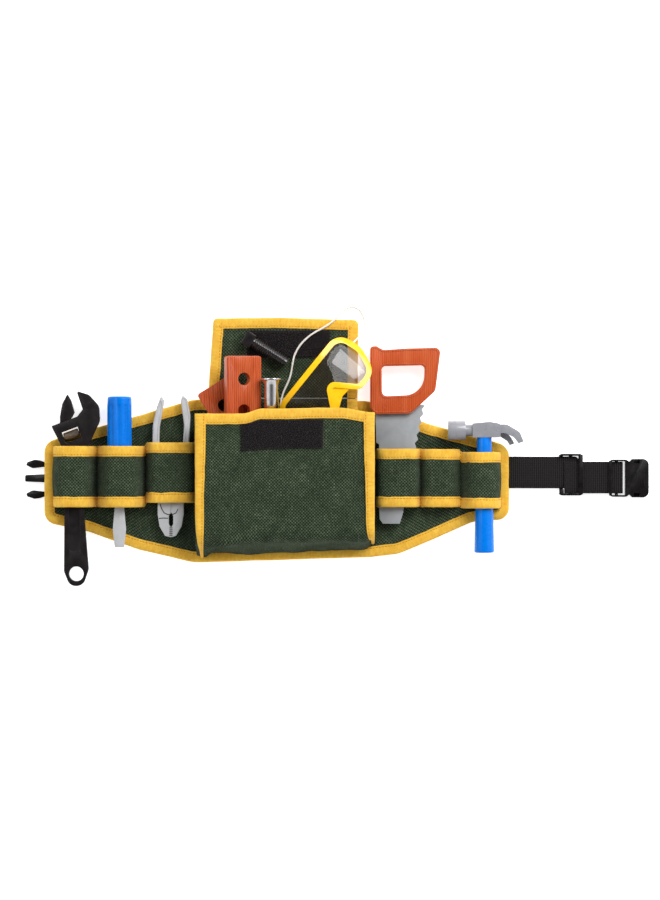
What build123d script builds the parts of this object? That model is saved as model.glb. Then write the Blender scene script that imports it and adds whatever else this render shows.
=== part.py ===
from build123d import *
import math
import os

# Toy tool belt, lying on its back. Millimetres; +X towards the strap, +Y towards the wearer's
# head, +Z out of the belt's front. The origin is in the middle of the back panel's back face.

# ---- driving dimensions ----
WEBBING_WIDTH = 31.75  # 1 1/4 inch webbing
WEBBING_THICK = 1.5
TAPE_WIDTH = 10.5  # folded binding tape, as seen from the front
PANEL_THICK = 3.2
TAPE_THICK = 4.4  # panel and folded tape together
CLOTH = 1.6
TAPE_EXTRA = 0.5  # how far a folded tape stands proud of thin cloth, on each side
END_RISE = 5.8  # how far the male buckle lifts the panel's left end
RISE_FLAT_X = -208.0  # the lifted end is level up to here
RISE_END_X = -182.0  # the panel lies on the ground from here on
PANEL_OUTLINE = [
    ((-232, 38.5), 13), ((-83, 81.5), 30), ((91, 80), 25), ((150, 57.5), 60), ((232, 35), 14),
    ((232, -38), 12), ((196, -40.5), 25), ((150, -61), 60), ((122, -72.5), 30), ((95, -76), 30),
    ((-83, -81.5), 60), ((-140, -68), 80), ((-190, -50), 80), ((-232, -41), 13),
]

LOOP_TOP_Y = 35.0
LOOP_BOTTOM_Y = -26.0
LOOP_INSET = 0.4  # from a seam to the foot of its loop
SEAM_HALF = 2.2  # half the strip that lies flat under a seam
# each loop: left seam, right seam, clear height above the ground, lean and bend of its sides
LEFT_LOOPS = [
    (-223.5, -179.7, 25.5, 2.5, 7), (-179.7, -131.1, 30.2, 6, 11), (-131.1, -81.2, 20.5, 0.6, 4),
]
RIGHT_LOOPS = [(98.6, 143.0, 18.5, 0.4, 5), (143.0, 183.5, 16.0, 4, 9), (183.5, 224.0, 25.8, 4, 11)]

POUCH_LEFT_X, POUCH_RIGHT_X = -80.5, 97.0
POUCH_MOUTH_Y, POUCH_MOUTH_Z = 70.0, 48.0
POUCH_FOOT_Y, POUCH_FOOT_Z = -60.0, 40.0
POUCH_HEEL_Y = -75.0
POUCH_BEND = 16.0

FLAP_HINGE = (0.0, 81.8, 3.6)
FLAP_CORNERS = [((-69, 82), 0.5), ((80.5, 82), 0.5), ((81.5, 161), 4), ((0, 163.4), 200), ((-63.5, 162.5), 4)]

STRAP_Y, STRAP_END_Y = 8.6, 3.5  # the strap steps sideways inside the slider
STRAP_Z = 1.6
FEMALE_Y = 2.9
FEMALE_BAR = (339.0, 5.1, 1.7)  # x, z and radius of the bar that the strap is looped round
MALE_Y = 1.75
MALE_BAR = (-216.0, 2.8, 1.7)

WRENCH_Z = (10.7, 20.7)
WRENCH_HEAD = (-224.5, 54.7, 20.5)  # the jaw rail's left end and its angle
WORM_T = -15.0  # worm axis below the jaw rail
SCREWDRIVER = (-156.7, 17.0)
PLIERS_Z = (4.9, 14.9)
PLIERS_PIVOT = (-105.5, -8.0)
SAW_Z = (4.8, 18.8)
SAW_BLADE_Z = (10.3, 13.3)
HAMMER = (206.8, 14.7)
BLOCK = (35.6, 109.0, 10.0)
BLOCK_HOLE_R = 6.25
BLOCK_PITCH = 31.5
GOGGLES = (29.0, 109.0, 51.07)  # middle of the brow and the brow's angle
GOGGLES_TOP_Z = 42.0
GOGGLES_R = 90.0  # wrap-round radius, outside
GOGGLES_OUTLINE = [
    ((-50, 0), 16), ((50, 0), 16), ((53.5, -28), 22), ((42.5, -54), 17), ((20, -54), 10),
    ((4, -30), 2.5), ((-17, -55), 10), ((-42.5, -54), 17), ((-53.5, -28), 22),
]
GOGGLES_RIM = 5.5
NOSE_WEB = [
    ((54.5, 92.5), 0.5), ((74, 93.2), 1), ((65.5, 84.5), 4), ((62, 72.4), 0.4), ((57, 72.4), 0.4),
]
NOSE_WEB_Z = (36.9, 40.1)
NAIL = (-5.0, 100.5, 34.5)
BOLT_HEAD, BOLT_TIP = (-32.4, 144.0), (9.5, 117.7)
BOLT_Z, BOLT_R = 10.9, 5.9
ELASTIC_R = 1.0
ELASTIC_ROUTE = [
    (8.5, 64.5, 15.8), (5.0, 68.2, 14.4), (3.6, 74.4, 12.4), (4.4, 82.0, 9.8), (7.0, 90.2, 7.2),
    (11.2, 98.5, 5.4), (14.2, 107.5, 4.8), (15.4, 117.0, 4.8), (17.4, 126.0, 4.8),
    (22.0, 134.5, 4.9), (28.6, 142.0, 5.0), (36.6, 148.0, 5.0), (45.6, 152.6, 5.4), (54.0, 157.8, 5.4),
    (61.0, 164.4, 4.2), (67.0, 171.2, 2.0), (74.8, 174.6, 1.2), (82.4, 171.8, 1.3),
    (86.6, 164.4, 1.2), (87.8, 156.6, 1.8), (86.8, 149.8, 4.6), (83.4, 144.8, 9.0),
    (79.0, 140.8, 13.2), (74.1, 136.2, 15.8),
]


def polygon(corners, closed=True):
    """A face whose corners each have their own fillet radius."""
    points = [c[0] for c in corners]
    line = FilletPolyline(*points, radius=[c[1] for c in corners], close=closed)
    return make_face(line)


def sharp(points):
    """A face with sharp corners."""
    return make_face(Polyline(*points, close=True))


def slab(face, low, high):
    """A flat face on the XY plane, as a solid from one height to another."""
    return extrude(Pos(0, 0, low) * face, amount=high - low, dir=(0, 0, 1))


def along_y(face_xz, low, high):
    """A face drawn as (x, z), as a solid from one y to another."""
    upright = Plane(origin=(0, high, 0), x_dir=(1, 0, 0), z_dir=(0, -1, 0))
    return extrude(upright * face_xz, amount=high - low)


def along_x(face_yz, low, high):
    """A face drawn as (y, z), as a solid from one x to another."""
    return extrude(Plane(origin=(low, 0, 0), x_dir=(0, 1, 0), z_dir=(1, 0, 0)) * face_yz, amount=high - low)


def box(x0, x1, y0, y1, z0, z1):
    """A box from its two corners."""
    return Pos((x0 + x1) / 2, (y0 + y1) / 2, (z0 + z1) / 2) * Box(x1 - x0, y1 - y0, z1 - z0)


def rod(start, end, radius, end_radius=None):
    """A round rod or cone between two points."""
    start, end = Vector(*start), Vector(*end)
    way = end - start
    plane = Plane(origin=start, z_dir=way.normalized())
    if end_radius is None:
        return extrude(plane * Circle(radius), amount=way.length)
    return plane * Pos(0, 0, way.length / 2) * Cone(radius, end_radius, way.length)


def solid_of(shape):
    """The one solid that a boolean result holds, without slivers too small to matter."""
    solids = [solid for solid in shape.solids() if solid.volume > 0.01]
    if len(solids) != 1:
        raise ValueError(f"expected one solid, not {len(solids)}")
    return solids[0]


def save(node, shape):
    """Writes one node's STEP file."""
    export_step(shape, f"parts/{node}.step")


# ---- the belt's cloth ----
def rise(x):
    """Height of the panel's back face above the ground."""
    part = (RISE_END_X - x) / (RISE_END_X - RISE_FLAT_X)
    return END_RISE * min(max(part, 0), 1)


def bent_layer(low, high):
    """Everything between two heights over the panel's back face."""
    ends = [-260, RISE_FLAT_X, RISE_END_X, 260]
    under = [(x, rise(x) + low) for x in ends]
    over = [(x, rise(x) + high) for x in reversed(ends)]
    return along_y(sharp(under + over), -100, 100)


def panel_tape():
    """The binding tape folded round the panel's edge, as a ring."""
    outline = polygon(PANEL_OUTLINE)
    ring = slab(outline, -5, 20) - slab(offset(outline, amount=-TAPE_WIDTH), -6, 21)
    return ring & bent_layer(0, TAPE_THICK)


def make_panel(tape, strap):
    """The back panel's cloth and the tape round it, cut away where the strap is sewn in."""
    inner = offset(polygon(PANEL_OUTLINE), amount=-TAPE_WIDTH)
    save("back_panel", solid_of(slab(inner, -5, 20) & bent_layer(0, PANEL_THICK)))
    save("panel_binding", solid_of(tape - strap))


def arch(loop, thick, proud):
    """One loop's arch as a face in (x, z): a flat-topped bulge with its feet on the panel."""
    x0, x1, clear, lean, radius = loop
    grow = thick + proud
    feet = [rise(x) + PANEL_THICK for x in (x0, x1)]

    def bulge(inset, top, bend):
        return polygon([
            ((x0 + inset, feet[0]), 0.01), ((x0 + inset + lean, top), bend),
            ((x1 - inset - lean, top), bend), ((x1 - inset, feet[1]), 0.01),
        ])

    outside = bulge(LOOP_INSET - proud, clear + grow, radius + 1.5)
    return outside - bulge(LOOP_INSET + thick + proud, clear - proud, radius)


def make_strip(name, loops, tape):
    """A strip of cloth sewn down between its loops, and the tapes on its two edges."""
    for node, thick, proud, low, high in (
        (f"loop_strip_{name}", CLOTH, 0, LOOP_BOTTOM_Y + TAPE_WIDTH, LOOP_TOP_Y - TAPE_WIDTH),
        (f"loop_binding_{name}_top", CLOTH, TAPE_EXTRA, LOOP_TOP_Y - TAPE_WIDTH, LOOP_TOP_Y),
        (f"loop_binding_{name}_bottom", CLOTH, TAPE_EXTRA, LOOP_BOTTOM_Y, LOOP_BOTTOM_Y + TAPE_WIDTH),
    ):
        strip = along_y(arch(loops[0], thick, proud), low, high)
        for loop in loops[1:]:
            foot = rise(loop[0]) + PANEL_THICK
            strip += along_y(arch(loop, thick, proud), low, high)
            strip += box(loop[0] - SEAM_HALF, loop[0] + SEAM_HALF, low, high, foot, foot + thick)
        save(node, solid_of(strip - bent_layer(-1, PANEL_THICK) - tape))


# ---- the pouch ----
def pouch_side(shrink):
    """The pouch's side view as a face in (y, z), shrunk by a wall thickness."""
    slope = (POUCH_MOUTH_Z - POUCH_FOOT_Z) / (POUCH_MOUTH_Y - POUCH_FOOT_Y)
    return polygon([
        ((POUCH_MOUTH_Y, PANEL_THICK), 0.01),
        ((POUCH_MOUTH_Y, POUCH_MOUTH_Z - shrink), 0.01),
        ((POUCH_FOOT_Y, POUCH_FOOT_Z - shrink * (1 + slope)), POUCH_BEND - shrink),
        ((POUCH_HEEL_Y + shrink, PANEL_THICK), 0.01),
    ])


def make_pouch(panel_edge):
    """The box pouch: front, side walls, their tapes and the hook patch."""
    skin = TAPE_EXTRA + 0.4
    shell = along_x(pouch_side(0), POUCH_LEFT_X, POUCH_RIGHT_X)
    front = shell - along_x(pouch_side(CLOTH), POUCH_LEFT_X - 1, POUCH_RIGHT_X + 1)
    tape_end = POUCH_MOUTH_Y - TAPE_WIDTH
    mouth_band = box(POUCH_LEFT_X + CLOTH, POUCH_RIGHT_X - CLOTH, tape_end, POUCH_MOUTH_Y + 1, 0, 80)
    outer = along_x(pouch_side(-skin), POUCH_LEFT_X, POUCH_RIGHT_X)
    outer &= box(-200, 200, -200, POUCH_MOUTH_Y, 0, 80)
    save("pouch_front", solid_of(front - mouth_band - panel_edge))
    tape = (outer - along_x(pouch_side(CLOTH + TAPE_EXTRA), POUCH_LEFT_X - 1, POUCH_RIGHT_X + 1)) & mouth_band
    save("pouch_mouth_binding", solid_of(tape))
    over_front = outer - shell
    over_front -= box(-200, 200, -200, 200, 0, 14)
    for side, x0, x1 in (
        ("left", POUCH_LEFT_X, POUCH_LEFT_X + TAPE_WIDTH),
        ("right", POUCH_RIGHT_X - TAPE_WIDTH, POUCH_RIGHT_X),
    ):
        wall_x = POUCH_LEFT_X if side == "left" else POUCH_RIGHT_X - CLOTH
        wall = along_x(pouch_side(CLOTH), wall_x, wall_x + CLOTH) & box(-200, 200, -200, tape_end, 0, 80)
        save(f"pouch_gusset_{side}", solid_of(wall - panel_edge))
        save(f"pouch_binding_{side}", solid_of(over_front & box(x0, x1, -100, tape_end, 0, 80)))
    save("hook_patch", solid_of(over_front & box(-35, 46, 32.5, tape_end, 0, 80)))


def make_flap():
    """The pouch's flap, laid open above the panel, with its tape and nap strip."""
    outline = polygon(FLAP_CORNERS)
    hinge_y = FLAP_CORNERS[0][0][1]
    inner = offset(outline, amount=-TAPE_WIDTH)
    left, right = inner.bounding_box().min.X, inner.bounding_box().max.X
    cloth = slab(inner, 0.3, 2.9) + box(left, right, hinge_y, hinge_y + TAPE_WIDTH + 1, 0.3, 2.9)
    save("flap_cloth", solid_of(cloth))
    ring = slab(outline, 0, 3.6) - slab(inner, -1, 5)
    ring -= box(left, right, hinge_y - 1, hinge_y + TAPE_WIDTH + 1, -1, 5)
    save("flap_binding", solid_of(ring))
    save("loop_patch", box(-30, 53, 123.5, 150.5, 2.9, 3.7))


# ---- the strap and its hardware ----
def make_strap():
    """The strap: sewn into the panel's right edge, through the slider, round the buckle's bar
    and back under the slider's far bar."""
    z0, z1 = STRAP_Z, STRAP_Z + WEBBING_THICK
    x_bar, z_bar, r_bar = FEMALE_BAR
    turn = z_bar - z1 + WEBBING_THICK
    top = z_bar + turn
    right = x_bar + turn
    half = WEBBING_WIDTH / 2
    outer = polygon([
        ((298, z0), 0.3), ((right, z0), turn - 0.4), ((right, top), turn - 0.4),
        ((x_bar - 10, top - 0.6), 12), ((309, z1 + 0.1 + WEBBING_THICK), 12),
        ((287, z1 + 0.1 + WEBBING_THICK), 0.3), ((287, z1), 0.01), ((298, z1), 0.01),
    ])
    inner = polygon([
        ((300, z1), 0.01), ((right - WEBBING_THICK, z1), turn - WEBBING_THICK - 0.4),
        ((right - WEBBING_THICK, top - WEBBING_THICK), turn - WEBBING_THICK - 0.4),
        ((x_bar - 10, top - 0.6 - WEBBING_THICK), 12), ((309, z1 + 0.1), 8), ((300, z1 + 0.1), 0.01),
    ])
    loop = along_y(outer - inner, STRAP_END_Y - half, STRAP_END_Y + half)
    run = box(232 - TAPE_WIDTH, 302, STRAP_Y - half, STRAP_Y + half, z0, z1)
    return solid_of(loop + run)


def make_slider():
    """The strap's slider, a frame with two low bars and one high bar."""
    x0, x1, y0, y1 = 281.0, 306.0, -14.4, 27.2
    frame = slab(polygon([((x0, y0), 4), ((x1, y0), 4), ((x1, y1), 4), ((x0, y1), 4)]), 0, 7.4)
    frame -= box(x0 + 1, x1 - 1, y0 + 2, y1 - 2, -1, 9)
    low, high = y0 + 2, y1 - 2
    frame -= box(x0 - 1, x0 + 1, low, high, -1, 9) + box(x1 - 1, x1 + 1, low, high, -1, 9)
    frame += box(x0 + 1, x0 + 5.5, y0 + 1, STRAP_Y - WEBBING_WIDTH / 2 - 0.7, 0, 7.4)
    frame += box(x0 + 1, x0 + 5, y0 + 1, y1 - 1, 0, 1.3)
    frame += box(x0 + 10.5, x0 + 14.5, y0 + 1, y1 - 1, 0, 1.3)
    frame += box(x1 - 5, x1 - 0.5, y0 + 1, y1 - 1, 5.1, 7.4)
    save("strap_slider", solid_of(frame))


def make_female_buckle():
    """The buckle's socket, with the bar that the strap is looped round."""
    x_bar, z_bar, r_bar = FEMALE_BAR
    low, high = 0.2, 11.2
    outline = polygon([
        ((331, FEMALE_Y - 18.6), 5), ((349.5, FEMALE_Y - 18.6), 4), ((351.6, FEMALE_Y - 15.4), 1.5),
        ((354, FEMALE_Y - 19.2), 3), ((371, FEMALE_Y - 19.2), 6), ((371, FEMALE_Y + 19.2), 6),
        ((354, FEMALE_Y + 19.2), 3), ((351.6, FEMALE_Y + 15.4), 1.5), ((349.5, FEMALE_Y + 18.6), 4),
        ((331, FEMALE_Y + 18.6), 5),
    ])
    body = slab(outline, low, high)
    window = 16.9
    body -= box(328, 347.5, FEMALE_Y - window, FEMALE_Y + window, -1, 20)
    body -= box(350.5, 380, FEMALE_Y - 16.6, FEMALE_Y + 16.6, 2.6, 8.8)
    for side in (-1, 1):
        y = FEMALE_Y + side * 17.5
        body -= box(356, 362, y - 2.6, y + 2.6, 2.6, 20)
    body += rod((x_bar, FEMALE_Y - window - 0.5, z_bar), (x_bar, FEMALE_Y + window + 0.5, z_bar), r_bar)
    body += box(331.4, 334.4, FEMALE_Y - window - 0.5, FEMALE_Y + window + 0.5, 9.6, high)
    save("buckle_female", solid_of(body))


def make_male_buckle():
    """The buckle's plug: base, guide, two springy prongs and the cloth tab that holds it."""
    x_bar, z_bar, r_bar = MALE_BAR
    half = 20.0
    base = box(-231, x_bar, MALE_Y - half, MALE_Y + half, 0.4, 5.4)
    base -= box(-226.5, x_bar + 5, MALE_Y - half + 3.4, MALE_Y + half - 3.4, -1, 9)
    base += rod((x_bar, MALE_Y - half + 3, z_bar), (x_bar, MALE_Y + half - 3, z_bar), r_bar)
    guide = polygon([
        ((-230.5, -1.4), 0.01), ((-251.6, -0.6), 1.4), ((-251.6, 6.0), 1.4), ((-230.5, 6.8), 0.01),
    ])
    save("buckle_male", solid_of(base + slab(guide, 1.2, 4.4)))
    for name, side in (("upper", 1), ("lower", -1)):
        prong = [((-231.4, 12.4), 0.8), ((-244, 10.9), 6), ((-250.6, 14.2), 1.0), ((-249.5, 17.2), 2),
                 ((-242, 19.6), 4), ((-236.5, 18.9), 1.5), ((-231.4, 17.0), 0.8)]
        leaf = polygon([((x, MALE_Y + side * y), r) for (x, y), r in prong])
        save(f"buckle_prong_{name}", slab(leaf, 0.9, 4.9))
    thick = 0.9
    turn = z_bar
    outer = polygon([
        ((-192, 0), 0.01), ((x_bar - turn, 0), turn - 0.02), ((x_bar - turn, 2 * turn), turn - 0.02),
        ((RISE_FLAT_X, 2 * turn), 5), ((-192, 1.95), 0.01),
    ])
    inner = polygon([
        ((-196.5, thick), 0.01), ((x_bar - turn + thick, thick), turn - thick - 0.02),
        ((x_bar - turn + thick, 2 * turn - thick), turn - thick - 0.02),
        ((RISE_FLAT_X, 2 * turn - thick), 5), ((-196.5, 2.05), 0.01),
    ])
    half = WEBBING_WIDTH / 2
    save("buckle_tab", solid_of(along_y(outer - inner, MALE_Y - half, MALE_Y + half)))


# ---- the tools ----
def at_wrench(shape):
    """From the wrench head's own (s, t) frame, s along the jaw rail, to the belt's."""
    x, y, angle = WRENCH_HEAD
    return Pos(x, y, 0) * Rot(0, 0, angle) * shape


def make_wrench():
    """The adjustable wrench: body, sliding jaw, worm and the pin the worm turns on."""
    low, high = WRENCH_Z
    middle = (low + high) / 2
    body = slab(polygon([
        ((-198.4, 89.6), 0.6), ((-187, 86), 8), ((-177, 75), 10), ((-176, 60), 12), ((-188, 35), 30),
        ((-192, 11), 40), ((-192.2, -28), 60), ((-187.3, -88), 11), ((-193, -104.4), 8.5),
        ((-206, -104.4), 8.5), ((-211.8, -90), 11), ((-211.4, -27), 60), ((-213, 11), 40),
        ((-215, 36), 10), ((-224.5, 54.7), 1), ((-198.8, 64.3), 1), ((-193.2, 71.5), 1), ((-198.6, 87), 2),
    ]), low, high)
    body -= rod((-199.6, -92.3, low - 1), (-199.6, -92.3, high + 1), 7.3)
    panel = polygon([((-207.5, 0), 2), ((-196.5, 0), 2), ((-195.5, -70), 3), ((-206.5, -70), 3)])
    for z in (low - 1, high - 2.6):
        body -= slab(panel, z, z + 3.6)
    groove = box(5, 27, -9.8, 0.6, middle - 2.3, middle + 2.3)
    window = box(7.3, 24.3, -21, -9.5, low - 1, high + 1)
    pin = rod((4, WORM_T, middle), (27.5, WORM_T, middle), 1.2)
    body -= at_wrench(groove + window + pin)
    save("wrench_body", solid_of(body))
    save("wrench_worm_pin", at_wrench(pin))
    jaw = slab(polygon([
        ((9.5, 0.4), 0.5), ((21.5, 0.4), 1), ((26.3, 4.5), 1), ((27.4, 17), 2), ((26.2, 24.4), 0.6),
        ((18, 17), 6), ((11.5, 6), 4),
    ]), low, high)
    jaw += box(9, 21, -9.2, 1, middle - 2, middle + 2)
    save("wrench_jaw", solid_of(at_wrench(jaw)))
    worm = rod((8, WORM_T, middle), (23.6, WORM_T, middle), 4.6)
    pitch = 2.4
    for turn in range(6):
        s = 9.2 + turn * pitch
        ring = rod((s, WORM_T, middle), (s + 1.1, WORM_T, middle), 6)
        worm -= ring - rod((s - 1, WORM_T, middle), (s + 3, WORM_T, middle), 3.7)
    worm -= rod((0, WORM_T, middle), (30, WORM_T, middle), 1.26)
    save("wrench_worm", solid_of(at_wrench(worm)))


def make_screwdriver():
    """The screwdriver: a fluted handle and a flat blade."""
    x, z = SCREWDRIVER
    handle = rod((x, 84.5, z), (x, -8.5, z), 12.2)
    handle = fillet(handle.edges().filter_by(GeomType.CIRCLE), 2.5)
    for turn in range(10):
        angle = math.radians(36 * turn)
        dx, dz = 14.6 * math.sin(angle), 14.6 * math.cos(angle)
        handle -= rod((x + dx, 76, z + dz), (x + dx, -3, z + dz), 3.2)
    shank_r = 4.6
    handle -= rod((x, -20, z), (x, 12, z), shank_r)
    save("screwdriver_handle", solid_of(handle))
    shank = rod((x, 12, z), (x, -66, z), shank_r)
    flat = slab(polygon([
        ((x - 4.6, 13), 0.01), ((x + 4.6, 13), 0.01), ((x + 4.6, -26), 20), ((x + 6.6, -48), 6),
        ((x + 4.7, -66), 0.5), ((x - 4.7, -66), 0.5), ((x - 6.6, -48), 6), ((x - 4.6, -26), 20),
    ]), z - 4.6, z + 4.6)
    wedge = along_x(sharp([(13, z - 4.6), (-22, z - 4.6), (-44, z - 3.2), (-66, z - 0.9),
                           (-66, z + 0.9), (-44, z + 3.2), (-22, z + 4.6), (13, z + 4.6)]), x - 9, x + 9)
    upper = shank & box(x - 9, x + 9, -26, 13, 0, 40)
    save("screwdriver_blade", solid_of(upper + (flat & wedge & box(x - 9, x + 9, -67, -26, 0, 40))))


def make_pliers():
    """The pliers: two crossed halves that share a pivot pin."""
    low, high = PLIERS_Z
    px, py = PLIERS_PIVOT
    mid = (low + high) / 2
    lap_r = 12.0
    left_handle = polygon([
        ((-115.6, 86), 1.5), ((-119.5, 74), 20), ((-123.6, 56), 20), ((-124, 36), 20), ((-119, 12), 20),
        ((px - 7, py + 2), 1), ((px + 2.5, py + 4), 1), ((-112.5, 20), 10), ((-117.2, 38), 20),
        ((-116.8, 54), 20), ((-112, 80), 1.5),
    ])
    right_handle = polygon([
        ((-94.4, 86.4), 1.5), ((-89.4, 82), 3), ((-86.2, 66), 20), ((-87.4, 38), 20), ((-91.5, 14), 20),
        ((px + 7, py + 2), 1), ((px - 2.5, py + 4), 1), ((-98, 20), 10), ((-93.6, 38), 20),
        ((-92.4, 56), 20), ((-95.8, 80), 3),
    ])
    gap = 0.15
    left_jaw = sharp([(px - gap, py - 10), (px - gap, -31), (px - 2.2, -35), (px - 2.2, -43), (px - gap, -46),
                      (px - gap, -56), (px - 6, -54.5), (px - 11.5, -45), (px - 13.3, -33),
                      (px - 13.3, -18), (px - 9, py - 6)])
    right_jaw = sharp([(px + gap, py - 10), (px + gap, -31), (px + 2.2, -35), (px + 2.2, -43), (px + gap, -46),
                       (px + gap, -56), (px + 5, -54.5), (px + 10.5, -45), (px + 12.7, -33),
                       (px + 12.7, -18), (px + 9, py - 6)])
    pin_r = 3.4

    def half(handle, jaw, lap_low, lap_high, other_low, other_high):
        whole = slab(handle, low, high) + slab(jaw, low, high)
        whole -= rod((px, py, other_low), (px, py, other_high), lap_r + 0.4)
        whole += rod((px, py, lap_low), (px, py, lap_high), lap_r - 0.2)
        return whole

    lower = half(left_handle, right_jaw, low, mid - 0.1, mid - 0.1, high + 1)
    upper = half(right_handle, left_jaw, mid + 0.1, high, low - 1, mid + 0.1)
    pin = rod((px, py, low), (px, py, high), pin_r)
    save("pliers_lower_half", solid_of(lower - pin))
    save("pliers_upper_half", solid_of(upper - rod((px, py, low - 1), (px, py, high + 1), pin_r + 0.06)))
    save("pliers_pivot_pin", pin)


def make_saw():
    """The saw: a closed handle and a wavy-toothed blade let into it."""
    low, high = SAW_Z
    grip = polygon([
        ((93, 134), 3), ((99, 134.6), 2), ((106, 130.6), 6), ((130, 132.2), 60), ((163.4, 133), 5),
        ((158, 90), 8), ((146, 79), 14), ((133, 67.4), 6), ((97, 66.6), 5), ((93, 74), 4),
    ])
    grip -= polygon([((104.4, 114.5), 4), ((147.4, 115.5), 4), ((146.2, 86.2), 20), ((104.8, 84.5), 5)])
    handle = slab(grip, low, high)
    left, teeth_top, tip_y = 101.9, (149.0, 80.0), -42.5
    bottom = (126.0, -30.0)
    count = 13
    edge = []
    for k in range(count):
        a, b = k / count, (k + 0.55) / count
        x0 = teeth_top[0] + (bottom[0] - teeth_top[0]) * a
        x1 = teeth_top[0] + (bottom[0] - teeth_top[0]) * b
        edge.append((x0 - 2.6, teeth_top[1] + (bottom[1] - teeth_top[1]) * a))
        edge.append((x1, teeth_top[1] + (bottom[1] - teeth_top[1]) * b))
    back = [(105.5, tip_y), (left + 0.6, -38), (left, -30), (left, 36.5), (left - 2.9, 38.5), (left - 4.2, 80)]
    face = sharp(edge + [(125.5, -33), (122.6, tip_y)] + back)
    blade = slab(face, *SAW_BLADE_Z) & box(90, 170, -60, 76, 0, 40)
    blade &= slab(sharp([(90, 76), (146, 76), (170, 66), (170, -60), (90, -60)]), 0, 40)
    save("saw_handle", solid_of(handle - blade))
    save("saw_blade", solid_of(blade))


def make_hammer():
    """The claw hammer, lying on its side: one claw above the other."""
    x, z = HAMMER
    handle = rod((x, 57, z), (x, -71.5, z), 7.0, 10.0)
    handle = fillet(handle.edges().sort_by(Axis.Y)[0], 2.0)
    head = rod((170.5, 50.6, z), (188, 50.6, z), 9.6)
    head += rod((187, 50.6, z), (197, 50.6, z), 5.8)
    body = polygon([
        ((195, 43.6), 0.8), ((195, 57.6), 0.8), ((212, 59.2), 8), ((224, 57), 4), ((222.5, 43.6), 2),
    ])
    head += slab(body, z - 7.4, z + 7.4)
    long_claw = polygon([
        ((216, 56.6), 0.5), ((229, 56.6), 8), ((242, 49), 7), ((245.8, 39.3), 0.6), ((240.8, 37.6), 0.6),
        ((236, 43.6), 5), ((227, 48.2), 4), ((216, 47), 0.5),
    ])
    short_claw = polygon([
        ((216, 54), 0.5), ((228, 50), 4), ((234, 43), 4), ((236.9, 37.4), 0.6), ((232.2, 35.7), 0.6),
        ((229.6, 40), 3), ((222.5, 44.4), 3), ((216, 45), 0.5),
    ])
    head += slab(long_claw, z + 1.4, z + 6.6) + slab(short_claw, z - 6.6, z - 1.4)
    save("hammer_head", solid_of(head - handle))
    save("hammer_handle", handle)


# ---- what is kept in the pouch ----
def block():
    """A wood-grained plank with a row of holes, its top edge on y = 0."""
    width, length, thick = BLOCK
    plank = slab(polygon([((-width / 2, 0), 3), ((width / 2, 0), 3), ((width / 2, -length), 3),
                          ((-width / 2, -length), 3)]), -thick / 2, thick / 2)
    for k in range(3):
        y = -23 - k * BLOCK_PITCH
        plank -= rod((0, y, -thick), (0, y, thick), BLOCK_HOLE_R)
    return plank


def make_blocks():
    """The two planks, one upright in front and one leaning behind."""
    save("block_front", Pos(-33.8, 124.5, 29.6) * Rot(0, 20, 0) * block())
    save("block_rear", Pos(-64.4, 95.3, 13.0) * Rot(0, 0, 31.5) * block())


def make_nail():
    """The oversized nail."""
    x, y, z = NAIL
    shank = rod((x, y, z), (x, y - 84, z), 7.25)
    shank += rod((x, y, z), (x, y - 5, z), 9.6, 7.25)
    shank += rod((x, y - 84, z), (x, y - 100, z), 7.25, 1.2)
    shank += rod((x, y + 1.6, z), (x, y, z), 10.5)
    save("nail", solid_of(shank))


def make_bolt():
    """The square-headed bolt; its thread is a row of ridges."""
    head, tip = Vector(*BOLT_HEAD, BOLT_Z), Vector(*BOLT_TIP, BOLT_Z)
    way = (tip - head).normalized()
    plane = Plane(origin=head, x_dir=(0, 0, 1), z_dir=way)
    length = (tip - head).length
    bolt = plane * extrude(Rectangle(13.8, 13.8), amount=10)
    core = plane * Pos(0, 0, 10 + (length - 10) / 2) * Cylinder(4.6, length - 10)
    bolt += core
    pitch = 2.2
    for k in range(int((length - 14) / pitch)):
        ridge = Pos(0, 0, 12 + k * pitch + 0.8) * Cylinder(BOLT_R, 0.9)
        bolt += plane * ridge
    save("bolt", solid_of(bolt))


def at_goggles(shape):
    """From the goggles' own frame, x along the brow, to the belt's."""
    x, y, angle = GOGGLES
    return Pos(x, y, 0) * Rot(0, 0, angle) * shape


def wrap(outer, inner):
    """A cylindrical shell that curves round the face, its axis along the goggles' height."""
    centre = GOGGLES_TOP_Z - GOGGLES_R
    shell = rod((0, 20, centre), (0, -80, centre), outer) - rod((0, 21, centre), (0, -81, centre), inner)
    return shell & box(-70, 70, -80, 20, 0, 60)


def make_goggles():
    """The goggles' frame and lens; gives back the frame."""
    outline = polygon(GOGGLES_OUTLINE)
    inside = offset(outline, amount=-GOGGLES_RIM)
    depth = 8.0
    frame = (slab(outline, 0, 60) - slab(inside, -1, 61)) & wrap(GOGGLES_R, GOGGLES_R - depth)
    for x in (-49.5, 45.5):
        frame += box(x, x + 4, -24, -12, 12.4, 20)
    lens = slab(inside, 0, 60) & wrap(GOGGLES_R - 2, GOGGLES_R - 3.6)
    placed_lens = solid_of(at_goggles(lens))
    web = slab(polygon(NOSE_WEB), *NOSE_WEB_Z)
    placed_frame = solid_of(at_goggles(frame) + web - at_goggles(slab(inside, -1, 61)))
    save("goggles_frame", placed_frame)
    save("goggles_lens", placed_lens)
    return placed_frame


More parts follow.
